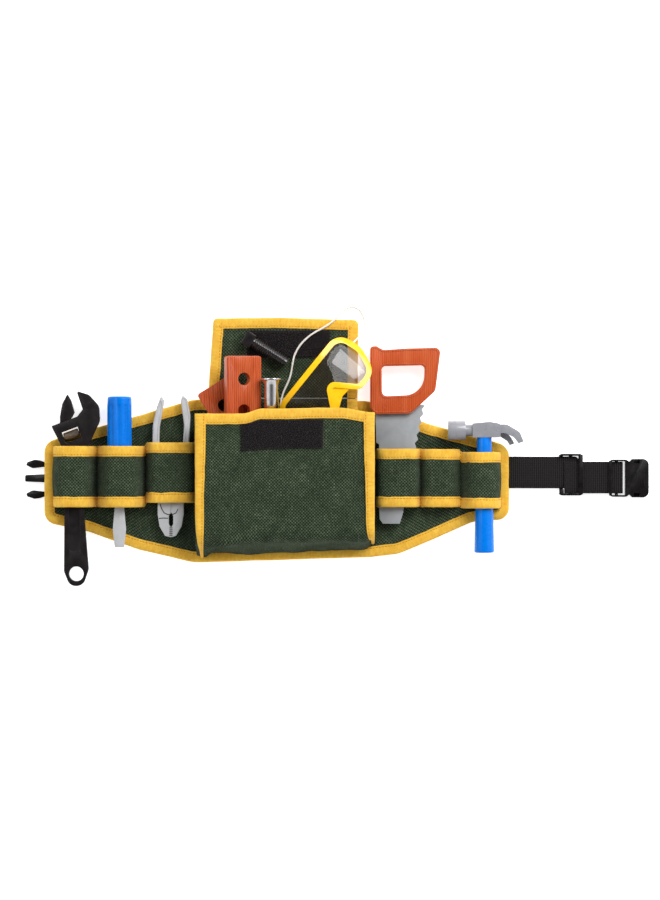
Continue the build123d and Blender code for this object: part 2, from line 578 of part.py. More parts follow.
def make_elastic(frame):
    """The goggles' cord along its route, cut where it is moulded into the frame."""
    points = [Vector(*p) for p in ELASTIC_ROUTE]
    radii = []
    for a, b, c in zip(points, points[1:], points[2:]):
        turn = math.radians((b - a).get_angle(c - b))
        radii.append(0.45 * min((b - a).length, (c - b).length) / math.tan(turn / 2))
    path = FilletPolyline(*points, radius=radii)
    start = Plane(origin=points[0], z_dir=points[1] - points[0])
    tube = sweep(start * Circle(ELASTIC_R), path=path)
    print("elastic radii", [round(r, 1) for r in radii])
    print("elastic length", round(path.length, 1), "volume ratio",
          round(tube.volume / (math.pi * ELASTIC_R**2 * path.length), 4))
    save("goggles_elastic", solid_of(tube - frame))


os.makedirs("parts", exist_ok=True)
strap = make_strap()
tape = panel_tape()
save("strap_webbing", strap)
make_panel(tape, strap)
make_strip("left", LEFT_LOOPS, tape)
make_strip("right", RIGHT_LOOPS, tape)
make_pouch(tape)
make_flap()
make_slider()
make_female_buckle()
make_male_buckle()
make_wrench()
make_screwdriver()
make_pliers()
make_saw()
make_hammer()
make_blocks()
make_nail()
make_bolt()
make_elastic(make_goggles())
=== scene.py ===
"""A toy tool belt lying flat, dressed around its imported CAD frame.

Sizes in the sub-assembly classes are millimetres in the belt's own frame: x along the belt
towards the strap, y towards the wearer's head, z out of the belt's front.
"""

import logging
import math
from collections.abc import Callable, Sequence
from dataclasses import dataclass, field
from enum import Enum

import bmesh
import bpy
from mathutils import Matrix, Vector, noise


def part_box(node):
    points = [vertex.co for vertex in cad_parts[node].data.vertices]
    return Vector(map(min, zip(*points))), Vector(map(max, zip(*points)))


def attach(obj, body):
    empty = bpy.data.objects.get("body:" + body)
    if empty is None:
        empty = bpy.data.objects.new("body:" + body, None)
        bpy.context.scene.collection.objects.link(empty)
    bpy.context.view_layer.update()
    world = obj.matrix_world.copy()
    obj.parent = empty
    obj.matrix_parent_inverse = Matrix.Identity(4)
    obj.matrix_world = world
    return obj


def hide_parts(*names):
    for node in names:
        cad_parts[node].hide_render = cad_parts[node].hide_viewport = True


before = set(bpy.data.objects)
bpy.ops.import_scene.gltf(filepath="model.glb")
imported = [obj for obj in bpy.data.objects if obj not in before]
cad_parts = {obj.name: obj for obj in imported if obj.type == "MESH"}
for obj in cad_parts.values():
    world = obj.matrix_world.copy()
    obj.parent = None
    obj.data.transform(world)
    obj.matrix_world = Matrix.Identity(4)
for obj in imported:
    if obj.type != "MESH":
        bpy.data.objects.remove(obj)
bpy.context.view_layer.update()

LOG = logging.getLogger("tool_belt")
MM = 0.001
Row = list[Vector]
Corner = tuple[tuple[float, float], float]
Wave = tuple[float, float, float]  # a ripple's height, size and seed


class Slot(Enum):
    """The record's material slots."""

    CANVAS = "green_canvas"
    TAPE = "yellow_tape"
    NAP = "black_hook_fabric"
    WEBBING = "black_webbing"
    BLACK = "black_plastic"
    TOOL_BLACK = "black_tool_plastic"
    BRONZE = "bronze_paint"
    BLUE = "blue_plastic"
    SILVER = "silver_plastic"
    GREY = "grey_plastic"
    ORANGE = "orange_plastic"
    CHROME = "chrome_plating"
    YELLOW = "yellow_plastic"
    LENS = "clear_lens"
    ELASTIC = "white_elastic"


class Edge(Enum):
    """How a line of points ends."""

    OPEN = False
    CLOSED = True


# ---- shader building ----
def colour(red: int, green: int, blue: int) -> tuple[float, float, float, float]:
    """A screen colour from 0 to 255 as a linear colour with full alpha."""
    def linear(value: int) -> float:
        """One channel, linear."""
        share = value / 255
        return share / 12.92 if share <= 0.04045 else ((share + 0.055) / 1.055) ** 2.4

    return linear(red), linear(green), linear(blue), 1.0


class Shader:
    """A material in the making, with short calls for its nodes."""

    def __init__(self, name: str) -> None:
        self.material = bpy.data.materials.new(name)
        self.material.use_nodes = True
        self.tree = self.material.node_tree
        self.bsdf = self.tree.nodes["Principled BSDF"]

    def add(self, kind: str, settings: dict | None = None, **inputs) -> bpy.types.Node:
        """Adds a node.

        Args:
            kind: The node's type, without the ShaderNode prefix.
            settings: Its properties.
            **inputs: Its inputs by name, each a value or another node's output.

        Returns:
            The node.
        """
        node = self.tree.nodes.new("ShaderNode" + kind)
        for key, value in (settings or {}).items():
            setattr(node, key, value)
        for key, value in inputs.items():
            self.put(node.inputs[key.replace("_", " ")], value)
        return node

    def put(self, socket: bpy.types.NodeSocket, value) -> None:
        """Links or sets one input."""
        if isinstance(value, bpy.types.NodeSocket):
            self.tree.links.new(value, socket)
        else:
            socket.default_value = value

    def math(self, operation: str, first, second=0.0) -> bpy.types.NodeSocket:
        """One sum on one or two numbers."""
        node = self.add("Math", {"operation": operation})
        self.put(node.inputs[0], first)
        self.put(node.inputs[1], second)
        return node.outputs[0]

    def mix(self, share, first, second) -> bpy.types.NodeSocket:
        """A blend of two colours."""
        node = self.add("Mix", {"data_type": "RGBA"})
        for index, value in ((0, share), (6, first), (7, second)):
            self.put(node.inputs[index], value)
        return node.outputs[2]

    def spread(self, value, low: float, high: float, to_low: float = 0, to_high: float = 1):
        """A number moved from one range to another and kept inside it."""
        node = self.add("MapRange")
        for index, number in enumerate((value, low, high, to_low, to_high)):
            self.put(node.inputs[index], number)
        return node.outputs[0]

    def noise(self, place, scale: float, detail: float = 2, rough: float = 0.5):
        """A noise value over a place."""
        node = self.add("TexNoise", None, Vector=place, Scale=scale, Detail=detail, Roughness=rough)
        return node.outputs[0]

    def mapped(self, vector, scale: tuple[float, float, float], turn: float = 0.0):
        """Coordinates scaled, and turned about z."""
        return self.add("Mapping", None, Vector=vector, Scale=scale, Rotation=(0, 0, turn)).outputs[0]

    def place(self, stretch: tuple[float, float, float] = (1, 1, 1), turn: float = 0.0):
        """Object coordinates, stretched and turned about z."""
        return self.mapped(self.add("TexCoord").outputs["Object"], stretch, turn)

    def cloth_place(self) -> tuple:
        """The piece's own UV map, in metres, with its two coordinates apart."""
        uv = self.add("UVMap").outputs[0]
        split = self.add("SeparateXYZ", None, Vector=uv)
        return uv, split.outputs[0], split.outputs[1]

    def wave(self, value, pitch: float):
        """A sine along a coordinate, one cycle to each pitch."""
        return self.math("SINE", self.math("MULTIPLY", value, 2 * math.pi / pitch))

    def relief(self, height, depth: float, strength: float = 1.0):
        """A bump of a given depth in metres."""
        return self.add("Bump", None, Strength=strength, Distance=depth, Height=height).outputs[0]

    def finish(self, **inputs) -> bpy.types.Material:
        """Sets the surface's own sockets and returns the material."""
        for key, value in inputs.items():
            self.put(self.bsdf.inputs[key.replace("_", " ")], value)
        return self.material


# ---- finishes ----
@dataclass(frozen=True)
class Canvas:
    """Coarse plain weave: painted shade in the hollows between threads, pale slub flecks on the crests as
    painted highlight, and a random dark mottle.
    """

    name: str = "green canvas"
    # painted shade in the weave's hollows, also used for a random mottle
    hollow_shade_and_mottle: tuple = colour(14, 23, 15)
    base: tuple = colour(64, 79, 58)
    # slub colour, shown only on the thread crests as a painted highlight
    pale: tuple = colour(134, 146, 118)
    pitch: float = 0.0032
    slubs: tuple[float, float] = (90, 900)  # noise scale along and across a thread

    def material(self) -> bpy.types.Material:
        """Builds the woven material on the piece's own UV map."""
        s = Shader(self.name)
        uv, x, y = s.cloth_place()
        weave = s.math("MULTIPLY", s.wave(x, self.pitch), s.wave(y, self.pitch))
        short, long = self.slubs
        along = s.noise(s.mapped(uv, (short, long, 1)), 1.0, 3, 0.7)
        across = s.noise(s.mapped(uv, (long, short, 1)), 1.0, 3, 0.7)
        slub = s.math("MAXIMUM", along, across)
        cloud = s.noise(uv, 38, 4, 0.6)
        # Painted shade: darker where the weave dips between threads.
        shade = s.mix(s.spread(weave, -0.9, 0.8), self.hollow_shade_and_mottle, self.base)
        # Pale slub flecks kept to the thread crests, as painted highlight.
        slub_and_crest_highlight = s.math("MULTIPLY", s.spread(slub, 0.5, 0.74), s.spread(weave, -0.5, 0.8))
        shade = s.mix(s.math("MULTIPLY", slub_and_crest_highlight, 0.85), shade, self.pale)
        # A random cloudy mottle towards the same dark colour.
        shade = s.mix(s.spread(cloud, 0.4, 0.66, 0.0, 0.34), shade, self.hollow_shade_and_mottle)
        height = s.math("ADD", s.math("MULTIPLY", weave, 0.5), s.math("MULTIPLY", slub, 1.1))
        return s.finish(
            Base_Color=shade, Roughness=0.95, Specular_IOR_Level=0.1, Sheen_Weight=0.03,
            Sheen_Roughness=0.5, Normal=s.relief(height, 0.0007, 0.9),
        )


@dataclass(frozen=True)
class BiasTape:
    """Folded cotton tape with a fine diagonal weave and small puckers."""

    name: str = "yellow binding tape"
    base: tuple = colour(242, 196, 76)
    shade: tuple = colour(220, 152, 34)
    pitch: float = 0.0006
    puckers: tuple[float, float, float] = (420, 150, 1)

    def material(self) -> bpy.types.Material:
        """Builds the material on the tape's UV map: x along it, y across it."""
        s = Shader(self.name)
        uv, x, y = s.cloth_place()
        weave = s.math("MULTIPLY", s.wave(s.math("ADD", x, y), self.pitch),
                       s.wave(s.math("SUBTRACT", x, y), self.pitch))
        folds = s.noise(s.mapped(uv, self.puckers, 0.5), 1.0, 2)
        dirt = s.noise(uv, 60, 4, 0.65)
        tone = s.mix(s.spread(folds, 0.35, 0.7, 0.0, 0.5), self.base, self.shade)
        tone = s.mix(s.spread(dirt, 0.45, 0.75, 0.0, 0.5), tone, self.shade)
        height = s.math("ADD", s.math("MULTIPLY", weave, 0.12), folds)
        return s.finish(
            Base_Color=tone, Roughness=0.86, Specular_IOR_Level=0.2, Sheen_Weight=0.1,
            Sheen_Roughness=0.4, Normal=s.relief(height, 0.0006, 0.8),
        )


@dataclass(frozen=True)
class Webbing:
    """Woven strap with ribs across its length, with painted shade in the troughs and painted highlight on the
    crests.
    """

    name: str = "black webbing"
    base: tuple = colour(14, 12, 13)
    # the rib crests' colour, a painted highlight
    top: tuple = colour(42, 38, 39)
    rib: float = 0.0021

    def material(self) -> bpy.types.Material:
        """Builds the ribs on the strap's UV map: x along it, y across it."""
        s = Shader(self.name)
        uv, x, y = s.cloth_place()
        weave = s.math("ADD", s.wave(x, self.rib), s.math("MULTIPLY", s.wave(y, self.rib * 0.8), 0.45))
        fuzzy = s.math("ADD", weave, s.math("MULTIPLY", s.noise(uv, 1500, 2), 0.8))
        # Painted shade and highlight: dark in the rib troughs and lighter on the crests, with random fuzz.
        tone = s.mix(s.spread(fuzzy, -0.6, 1.8), self.base, self.top)
        return s.finish(Base_Color=tone, Roughness=0.7, Specular_IOR_Level=0.12,
                        Sheen_Weight=0.03, Normal=s.relief(weave, 0.00022, 0.9))


@dataclass(frozen=True)
class Nap:
    """Brushed loop fabric, matt and slightly lint-covered."""

    name: str = "black nap"
    base: tuple = colour(18, 13, 15)
    lint: tuple = colour(66, 56, 58)

    def material(self) -> bpy.types.Material:
        """Builds the matt fuzzy material."""
        s = Shader(self.name)
        place = s.place()
        fuzz = s.noise(place, 1400, 4, 0.7)
        patch = s.noise(place, 160, 3)
        tone = s.mix(s.math("MULTIPLY", s.spread(fuzz, 0.5, 0.8), s.spread(patch, 0.35, 0.7, 0.1, 0.8)),
                     self.base, self.lint)
        return s.finish(Base_Color=tone, Roughness=0.97, Specular_IOR_Level=0.1, Sheen_Weight=0.2,
                        Normal=s.relief(fuzz, 0.0005, 0.9))


@dataclass(frozen=True)
class Moulded:
    """Injection-moulded plastic with a faint orange-peel skin and handling marks; on the wrench's worm these
    marks are bronze flecks, partly bronze paint and partly painted glints.
    """

    name: str
    base: tuple
    wear_and_glint_tone: tuple
    rough: float = 0.35
    coat: float = 0.0
    shine: float = 0.2
    skin: float = 900.0
    skin_depth: float = 0.00005

    def material(self) -> bpy.types.Material:
        """Builds the plastic on Object coordinates."""
        s = Shader(self.name)
        place = s.place()
        # Random handling marks; on the bronze worm they are bronze flecks that are also painted glints.
        marks = s.noise(place, 110, 5, 0.65)
        skin = s.noise(place, self.skin, 2)
        tone = s.mix(s.spread(marks, 0.4, 0.75, 0.0, 0.55), self.base, self.wear_and_glint_tone)
        rough = s.spread(marks, 0.3, 0.75, self.rough, self.rough + 0.16)
        return s.finish(Base_Color=tone, Roughness=rough, Coat_Weight=self.coat, Coat_Roughness=0.12,
                        Specular_IOR_Level=self.shine,
                        Normal=s.relief(skin, self.skin_depth, 0.7))


@dataclass(frozen=True)
class WoodGrain:
    """Coloured plastic moulded with wood grain that runs along one direction."""

    name: str
    turn: float
    contrast: float = 0.6
    base: tuple = colour(188, 80, 36)
    dark: tuple = colour(126, 42, 14)
    light: tuple = colour(202, 104, 60)

    def material(self) -> bpy.types.Material:
        """Builds the grain on Object coordinates turned to the piece."""
        s = Shader(self.name)
        place = s.place((1, 0.12, 0.5), self.turn)
        drift = s.noise(place, 90, 3, 0.55)
        lines = s.add("TexWave", {"bands_direction": "X"}, Vector=place, Scale=150.0, Distortion=5.0,
                      Detail=3.0, Detail_Scale=1.4, Detail_Roughness=0.6).outputs[1]
        tone = s.mix(s.spread(lines, 0.1, 0.7, 1 - self.contrast, 1.0), self.dark, self.base)
        tone = s.mix(s.spread(drift, 0.45, 0.75, 0.0, 0.5), tone, self.light)
        return s.finish(Base_Color=tone, Roughness=0.34, Coat_Weight=0.15, Coat_Roughness=0.2,
                        Specular_IOR_Level=0.2, Normal=s.relief(lines, 0.0004, 0.6))


@dataclass(frozen=True)
class Plated:
    """Vacuum-plated plastic with a faintly uneven mirror skin."""

    name: str = "plated plastic"
    base: tuple = colour(226, 224, 226)
    smeared: tuple = colour(160, 156, 160)

    def material(self) -> bpy.types.Material:
        """Builds the metal skin."""
        s = Shader(self.name)
        place = s.place()
        smear = s.noise(place, 180, 4, 0.6)
        tone = s.mix(s.spread(smear, 0.4, 0.8, 0, 0.3), self.base, self.smeared)
        return s.finish(Base_Color=tone, Metallic=1.0, Roughness=s.spread(smear, 0.3, 0.8, 0.1, 0.3),
                        Normal=s.relief(s.noise(place, 60, 2), 0.0003, 0.5))


@dataclass(frozen=True)
class ClearSheet:
    """A thin clear plastic sheet that shows mostly its reflections."""

    name: str = "clear lens"
    base: tuple = colour(48, 36, 28)

    def material(self) -> bpy.types.Material:
        """Builds the see-through material, hazier where it has been scuffed."""
        s = Shader(self.name)
        haze = s.noise(s.place(), 70, 4, 0.6)
        return s.finish(Base_Color=self.base, Roughness=s.spread(haze, 0.4, 0.8, 0.03, 0.08),
                        Alpha=s.spread(haze, 0.35, 0.75, 0.26, 0.36), Specular_IOR_Level=0.9,
                        Coat_Weight=0.6, Coat_Roughness=0.03)


@dataclass(frozen=True)
class Braid:
    """Thin white braided elastic."""

    name: str = "white elastic"
    base: tuple = colour(246, 243, 236)
    shade: tuple = colour(206, 200, 190)

    def material(self) -> bpy.types.Material:
        """Builds the braid from crossing ribs on Object coordinates."""
        s = Shader(self.name)
        place = s.place()
        ribs = s.add("TexWave", {"bands_direction": "DIAGONAL"}, Vector=place, Scale=420.0,
                     Distortion=1.0).outputs[1]
        tone = s.mix(s.spread(ribs, 0.2, 0.9), self.shade, self.base)
        return s.finish(Base_Color=tone, Roughness=0.8, Sheen_Weight=0.2, Normal=s.relief(ribs, 0.0002, 0.7))


class Finishes:
    """Every material of the belt, each built once."""

    def __init__(self) -> None:
        self.canvas = Canvas().material()
        self.tape = BiasTape().material()
        self.webbing = Webbing().material()
        self.nap = Nap().material()
        self.elastic = Braid().material()
        self.lens = ClearSheet().material()
        self.plated = Plated().material()
        self.thread = Moulded("yellow thread", colour(206, 140, 34), colour(160, 98, 16), 0.8).material()
        self.green_thread = Moulded("dark thread", colour(40, 36, 34), colour(66, 60, 56), 0.85).material()
        self.buckle = Moulded("black moulding", colour(16, 14, 15), colour(30, 27, 28), 0.24, 0.2).material()
        self.tool_black = Moulded("black tool", colour(24, 20, 21), colour(40, 35, 36), 0.32, 0.08).material()
        self.bolt = Moulded("black gloss", colour(24, 21, 22), colour(50, 46, 48), 0.2, 0.8).material()
        # Bronze flecks from the marks noise on a dark base: partly the worm's bronze paint, partly painted
        # glints on the knurl.
        self.bronze = Moulded("bronze paint and painted glints on black", colour(40, 32, 28), colour(176, 132, 70), 0.35, 0.3,
                              0.5, 500).material()
        self.blue = Moulded("blue gloss", colour(0, 112, 214), colour(0, 124, 224), 0.2, 0.3, 0.1).material()
        self.silver = Moulded("silver plastic", colour(136, 137, 143), colour(156, 156, 162), 0.24, 0.5,
                              0.4, 1600, 0.00003).material()
        self.pale_silver = Moulded("pale silver plastic", colour(184, 185, 187), colour(202, 202, 204), 0.26,
                                   0.4, 0.4, 1600, 0.00003).material()
        self.grey = Moulded("grey plastic", colour(150, 153, 156), colour(164, 166, 169), 0.34,
                            0.1).material()
        self.yellow = Moulded("yellow gloss", colour(252, 190, 14), colour(255, 204, 48), 0.22,
                              0.4).material()
        self.wood = {
            "saw": WoodGrain("orange grain faint", 0.0, 0.3).material(),
            "front": WoodGrain("orange grain upright", 0.0).material(),
            "rear": WoodGrain("orange grain leaning", math.radians(-31.5)).material(),
        }


# ---- mesh building ----
def at(x: float, y: float, z: float) -> Vector:
    """A point given in millimetres."""
    return Vector((x, y, z)) * MM


def smooth_step(value: float, low: float, high: float) -> float:
    """0 below low, 1 above high, and an even rise between them."""
    share = min(max((value - low) / (high - low), 0.0), 1.0)
    return share * share * (3 - 2 * share)


def ripple(x: float, y: float, size: float, seed: float) -> float:
    """Smooth unevenness from -1 to 1 over waves of about a size in millimetres."""
    return noise.noise(Vector((x / size, y / size, seed)))


def uneven(x: float, y: float, waves: Sequence[Wave]) -> float:
    """Several ripples added up, in millimetres."""
    return sum(height * ripple(x, y, size, seed) for height, size, seed in waves)


def rounded(corners: Sequence[Corner], edge: Edge = Edge.CLOSED, step: float = 2.5) -> list[Vector]:
    """An outline whose corners are arcs.

    Args:
        corners: Each corner and its own radius.
        edge: Whether the last corner joins the first.
        step: The longest chord along an arc.

    Returns:
        The outline's points in the plane, in millimetres.
    """
    places = [Vector(place) for place, _ in corners]
    count = len(places)
    points: list[Vector] = []
    for i, (_, radius) in enumerate(corners):
        here = places[i]
        if edge is Edge.OPEN and i in (0, count - 1):
            points.append(here)
            continue
        back, ahead = places[i - 1] - here, places[(i + 1) % count] - here
        opening = back.angle(ahead)
        turn = math.pi - opening
        if turn < 0.01:
            points.append(here)
            continue
        cut = min(radius * math.tan(turn / 2), 0.49 * back.length, 0.49 * ahead.length)
        arc = cut / math.tan(turn / 2)
        start, end = here + back.normalized() * cut, here + ahead.normalized() * cut
        centre = here + (back.normalized() + ahead.normalized()).normalized() * (arc / math.sin(opening / 2))
        pieces = max(2, math.ceil(arc * turn / step))
        first, last = start - centre, end - centre
        sweep = first.angle_signed(last)
        for k in range(pieces + 1):
            angle = -sweep * k / pieces
            points.append(centre + Vector((first.x * math.cos(angle) - first.y * math.sin(angle),
                                           first.x * math.sin(angle) + first.y * math.cos(angle))))
    return points


def evenly(points: Sequence[Vector], spacing: float, edge: Edge) -> list[Vector]:
    """The same line with points a steady distance apart."""
    line = list(points) + ([points[0]] if edge is Edge.CLOSED else [])
    lengths = [0.0]
    for a, b in zip(line, line[1:]):
        lengths.append(lengths[-1] + (b - a).length)
    count = max(2, round(lengths[-1] / spacing))
    result, k = [], 0
    for i in range(count if edge is Edge.CLOSED else count + 1):
        goal = lengths[-1] * i / count
        while k < len(line) - 2 and lengths[k + 1] < goal:
            k += 1
        span = max(lengths[k + 1] - lengths[k], 1e-9)
        result.append(line[k].lerp(line[k + 1], min(max((goal - lengths[k]) / span, 0), 1)))
    return result


def add_object(name: str, data: bpy.types.ID) -> bpy.types.Object:
    """A new object at the origin, linked to the scene."""
    made = bpy.data.objects.new(name, data)
    bpy.context.scene.collection.objects.link(made)
    return made


def make_object(name: str, vertices: Sequence[Vector], faces: Sequence[Sequence[int]],
                uvs: Sequence[tuple[float, float]] | None = None) -> bpy.types.Object:
    """A smooth mesh object at the origin.

    Args:
        name: The piece's name.
        vertices: Its points in metres.
        faces: Its faces as lists of point numbers.
        uvs: A place on the cloth for each point, in metres.

    Returns:
        The object, linked to the scene.
    """
    mesh = bpy.data.meshes.new(name)
    mesh.from_pydata([tuple(v) for v in vertices], [], [tuple(f) for f in faces])
    if uvs is not None:
        layer = mesh.uv_layers.new(name="UVMap")
        for loop in mesh.loops:
            layer.data[loop.index].uv = uvs[loop.vertex_index]
    mesh.shade_smooth()
    return add_object(name, mesh)


def bake_modifiers(piece: bpy.types.Object) -> bpy.types.Object:
    """Turns the evaluated piece into its plain mesh and removes its modifiers."""
    graph = bpy.context.evaluated_depsgraph_get()
    graph.update()
    mesh = bpy.data.meshes.new_from_object(piece.evaluated_get(graph), depsgraph=graph)
    piece.modifiers.clear()
    piece.data = mesh
    return piece


def loft(name: str, rows: Sequence[Row], wrap_rows: bool = False, wrap_across: bool = False,
         caps: bool = False) -> bpy.types.Object:
    """A surface through rows of points, with a UV map in metres.

    Args:
        name: The piece's name.
        rows: Rows with equal numbers of points.
        wrap_rows: Whether the last row joins the first.
        wrap_across: Whether each row is a closed ring.
        caps: Whether the first and last rings are closed by a face.

    Returns:
        The object.
    """
    height, width = len(rows), len(rows[0])
    middle = width // 2
    along, far = [0.0], 0.0
    for a, b in zip(rows, rows[1:]):
        far += (b[middle] - a[middle]).length
        along.append(far)
    vertices, uvs = [], []
    for i, row in enumerate(rows):
        across = 0.0
        for j, point in enumerate(row):
            across += (point - row[j - 1]).length if j else 0.0
            vertices.append(point)
            uvs.append((along[i], across))
    faces = []
    for i in range(height if wrap_rows else height - 1):
        for j in range(width if wrap_across else width - 1):
            a, b = i * width + j, i * width + (j + 1) % width
            c, d = ((i + 1) % height) * width + (j + 1) % width, ((i + 1) % height) * width + j
            faces.append((a, b, c, d))
    if caps:
        faces.append(tuple(reversed(range(width))))
        faces.append(tuple(range((height - 1) * width, height * width)))
    made = make_object(name, vertices, faces, uvs)
    if wrap_across or wrap_rows:
        work = bmesh.new()
        work.from_mesh(made.data)
        bmesh.ops.recalc_face_normals(work, faces=work.faces)
        work.to_mesh(made.data)
        work.free()
    return made


def cloth(name: str, rows: Sequence[Row], thickness: float) -> bpy.types.Object:
    """A loft given a thickness in millimetres, half on each side."""
    made = loft(name, rows)
    solid = made.modifiers.new("thickness", "SOLIDIFY")
    solid.thickness = thickness * MM
    solid.offset = 0.0
    solid.use_even_offset = False
    return bake_modifiers(made)


def dress(piece: bpy.types.Object, material: bpy.types.Material, slot: Slot, body: str,
          *nodes: str) -> bpy.types.Object:
    """Gives a finished piece its material and its body, and hides the CAD nodes that it stands for."""
    piece.data.materials.clear()
    piece.data.materials.append(material)
    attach(piece, body)
    if nodes:
        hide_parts(*nodes)
    LOG.info("%s: %d faces on %s", piece.name, len(piece.data.polygons), body)
    return piece


def softened(node: str, name: str, width: float, segments: int = 2, sharp: float = 32.0) -> bpy.types.Object:
    """A copy of a CAD node with its edges rounded.

    Args:
        node: The CAD node.
        name: The new piece's name.
        width: The rounding's width in millimetres.
        segments: Faces across the rounding.
        sharp: The smallest angle between faces, in degrees, that counts as an edge.

    Returns:
        The new piece.
    """
    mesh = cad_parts[node].data.copy()
    mesh.materials.clear()
    work = bmesh.new()
    work.from_mesh(mesh)
    bmesh.ops.remove_doubles(work, verts=work.verts, dist=2e-6)
    bmesh.ops.dissolve_limit(work, angle_limit=math.radians(0.6), verts=work.verts, edges=work.edges)
    work.to_mesh(mesh)
    work.free()
    made = add_object(name, mesh)
    bevel = made.modifiers.new("edges", "BEVEL")
    bevel.width = width * MM
    bevel.segments = segments
    bevel.limit_method = "ANGLE"
    bevel.angle_limit = math.radians(sharp)
    bevel.use_clamp_overlap = True
    bevel.miter_outer = "MITER_SHARP"
    bake_modifiers(made)
    made.data.shade_smooth()
    made.data.set_sharp_from_angle(angle=math.radians(50))
    return made


@dataclass
class FoldedTape:
    """A binding tape folded over a cloth edge."""

    width: float = 10.5
    half: float = 2.2
    stitch_inset: float = 1.9
    waviness: float = 0.35
    # share of the width and of the half height, from the fold to the turned-in edge
    profile: tuple[tuple[float, float], ...] = (
        (0.0, 0.0), (0.05, 0.62), (0.16, 0.98), (0.4, 1.07), (0.62, 1.05), (0.77, 0.97), (0.82, 0.84),
        (0.87, 0.96), (0.95, 0.98), (1.0, 0.8), (1.0, 0.35),
    )

    def build(self, name: str, path: Sequence[Vector], inward: Sequence[Vector], up: Sequence[Vector],
              edge: Edge, seed: float, taper: Callable[[float], float] = lambda share: 1.0,
              ) -> tuple[bpy.types.Object, list[Vector]]:
        """Builds the tape.

        Args:
            name: The piece's name.
            path: The cloth's edge, in millimetres.
            inward: From the edge towards the cloth, one for each point.
            up: The cloth's normal, one for each point.
            edge: Whether the tape closes on itself.
            seed: Sets its unevenness.
            taper: The tape's width as a share, over its length from 0 to 1.

        Returns:
            The piece and the stitch line in metres.
        """
        ring = list(self.profile) + [(d, -h) for d, h in reversed(self.profile[1:])]
        rows, seam = [], []
        count = len(path)
        for i, (point, side, normal) in enumerate(zip(path, inward, up)):
            share = i / max(count - 1, 1)
            wave = self.waviness * ripple(point.x + point.z, point.y, 9.0, seed)
            pucker = 1 + 0.07 * ripple(point.x + point.z, point.y, 4.0, seed + 7)
            width = (self.width + wave) * taper(share)
            out = 0.25 * ripple(point.x + point.z, point.y, 14.0, seed + 3)
            row = []
            for d, h in ring:
                lift = h * self.half * (pucker if 0.1 < d < 0.8 else 1.0)
                row.append((point + side * (d * width - out * (1 - d)) + normal * lift) * MM)
            rows.append(row)
            seam.append((point + side * (width - self.stitch_inset) + normal * self.half * 0.93) * MM)
        closed = edge is Edge.CLOSED
        made = loft(name, rows, wrap_rows=closed, wrap_across=True, caps=not closed)
        return made, seam + ([seam[0]] if closed else [])


# ---- Geometry Nodes ----
class Tree:
    """A Geometry Nodes tree in the making."""

    def __init__(self, name: str) -> None:
        self.group = bpy.data.node_groups.new(name, "GeometryNodeTree")
        self.group.interface.new_socket("Geometry", in_out="INPUT", socket_type="NodeSocketGeometry")
        self.group.interface.new_socket("Geometry", in_out="OUTPUT", socket_type="NodeSocketGeometry")
        self.sizes: dict[str, str] = {}

    def size(self, name: str, kind: str = "NodeSocketFloat") -> None:
        """Adds a named input."""
        self.sizes[name] = self.group.interface.new_socket(name, in_out="INPUT", socket_type=kind).identifier

    def start(self) -> None:
        """Adds the group's own input and output, once its sockets are there."""
        self.source = self.group.nodes.new("NodeGroupInput")
        self.result = self.group.nodes.new("NodeGroupOutput")

    def add(self, kind: str, settings: dict | None = None, **inputs) -> bpy.types.Node:
        """Adds a node by type with its inputs, each a value or an output."""
        node = self.group.nodes.new(kind)
        for key, value in (settings or {}).items():
            setattr(node, key, value)
        for key, value in inputs.items():
            socket = node.inputs[key.replace("_", " ")]
            if isinstance(value, bpy.types.NodeSocket):
                self.group.links.new(value, socket)
            else:
                socket.default_value = value
        return node

    def finish(self, geometry: bpy.types.NodeSocket) -> None:
        """Ends the tree in real geometry with its material."""
        real = self.add("GeometryNodeRealizeInstances", None, Geometry=geometry)
        painted = self.add("GeometryNodeSetMaterial", None, Geometry=real.outputs[0],
                           Material=self.source.outputs["Material"])
        self.group.links.new(painted.outputs[0], self.result.inputs[0])


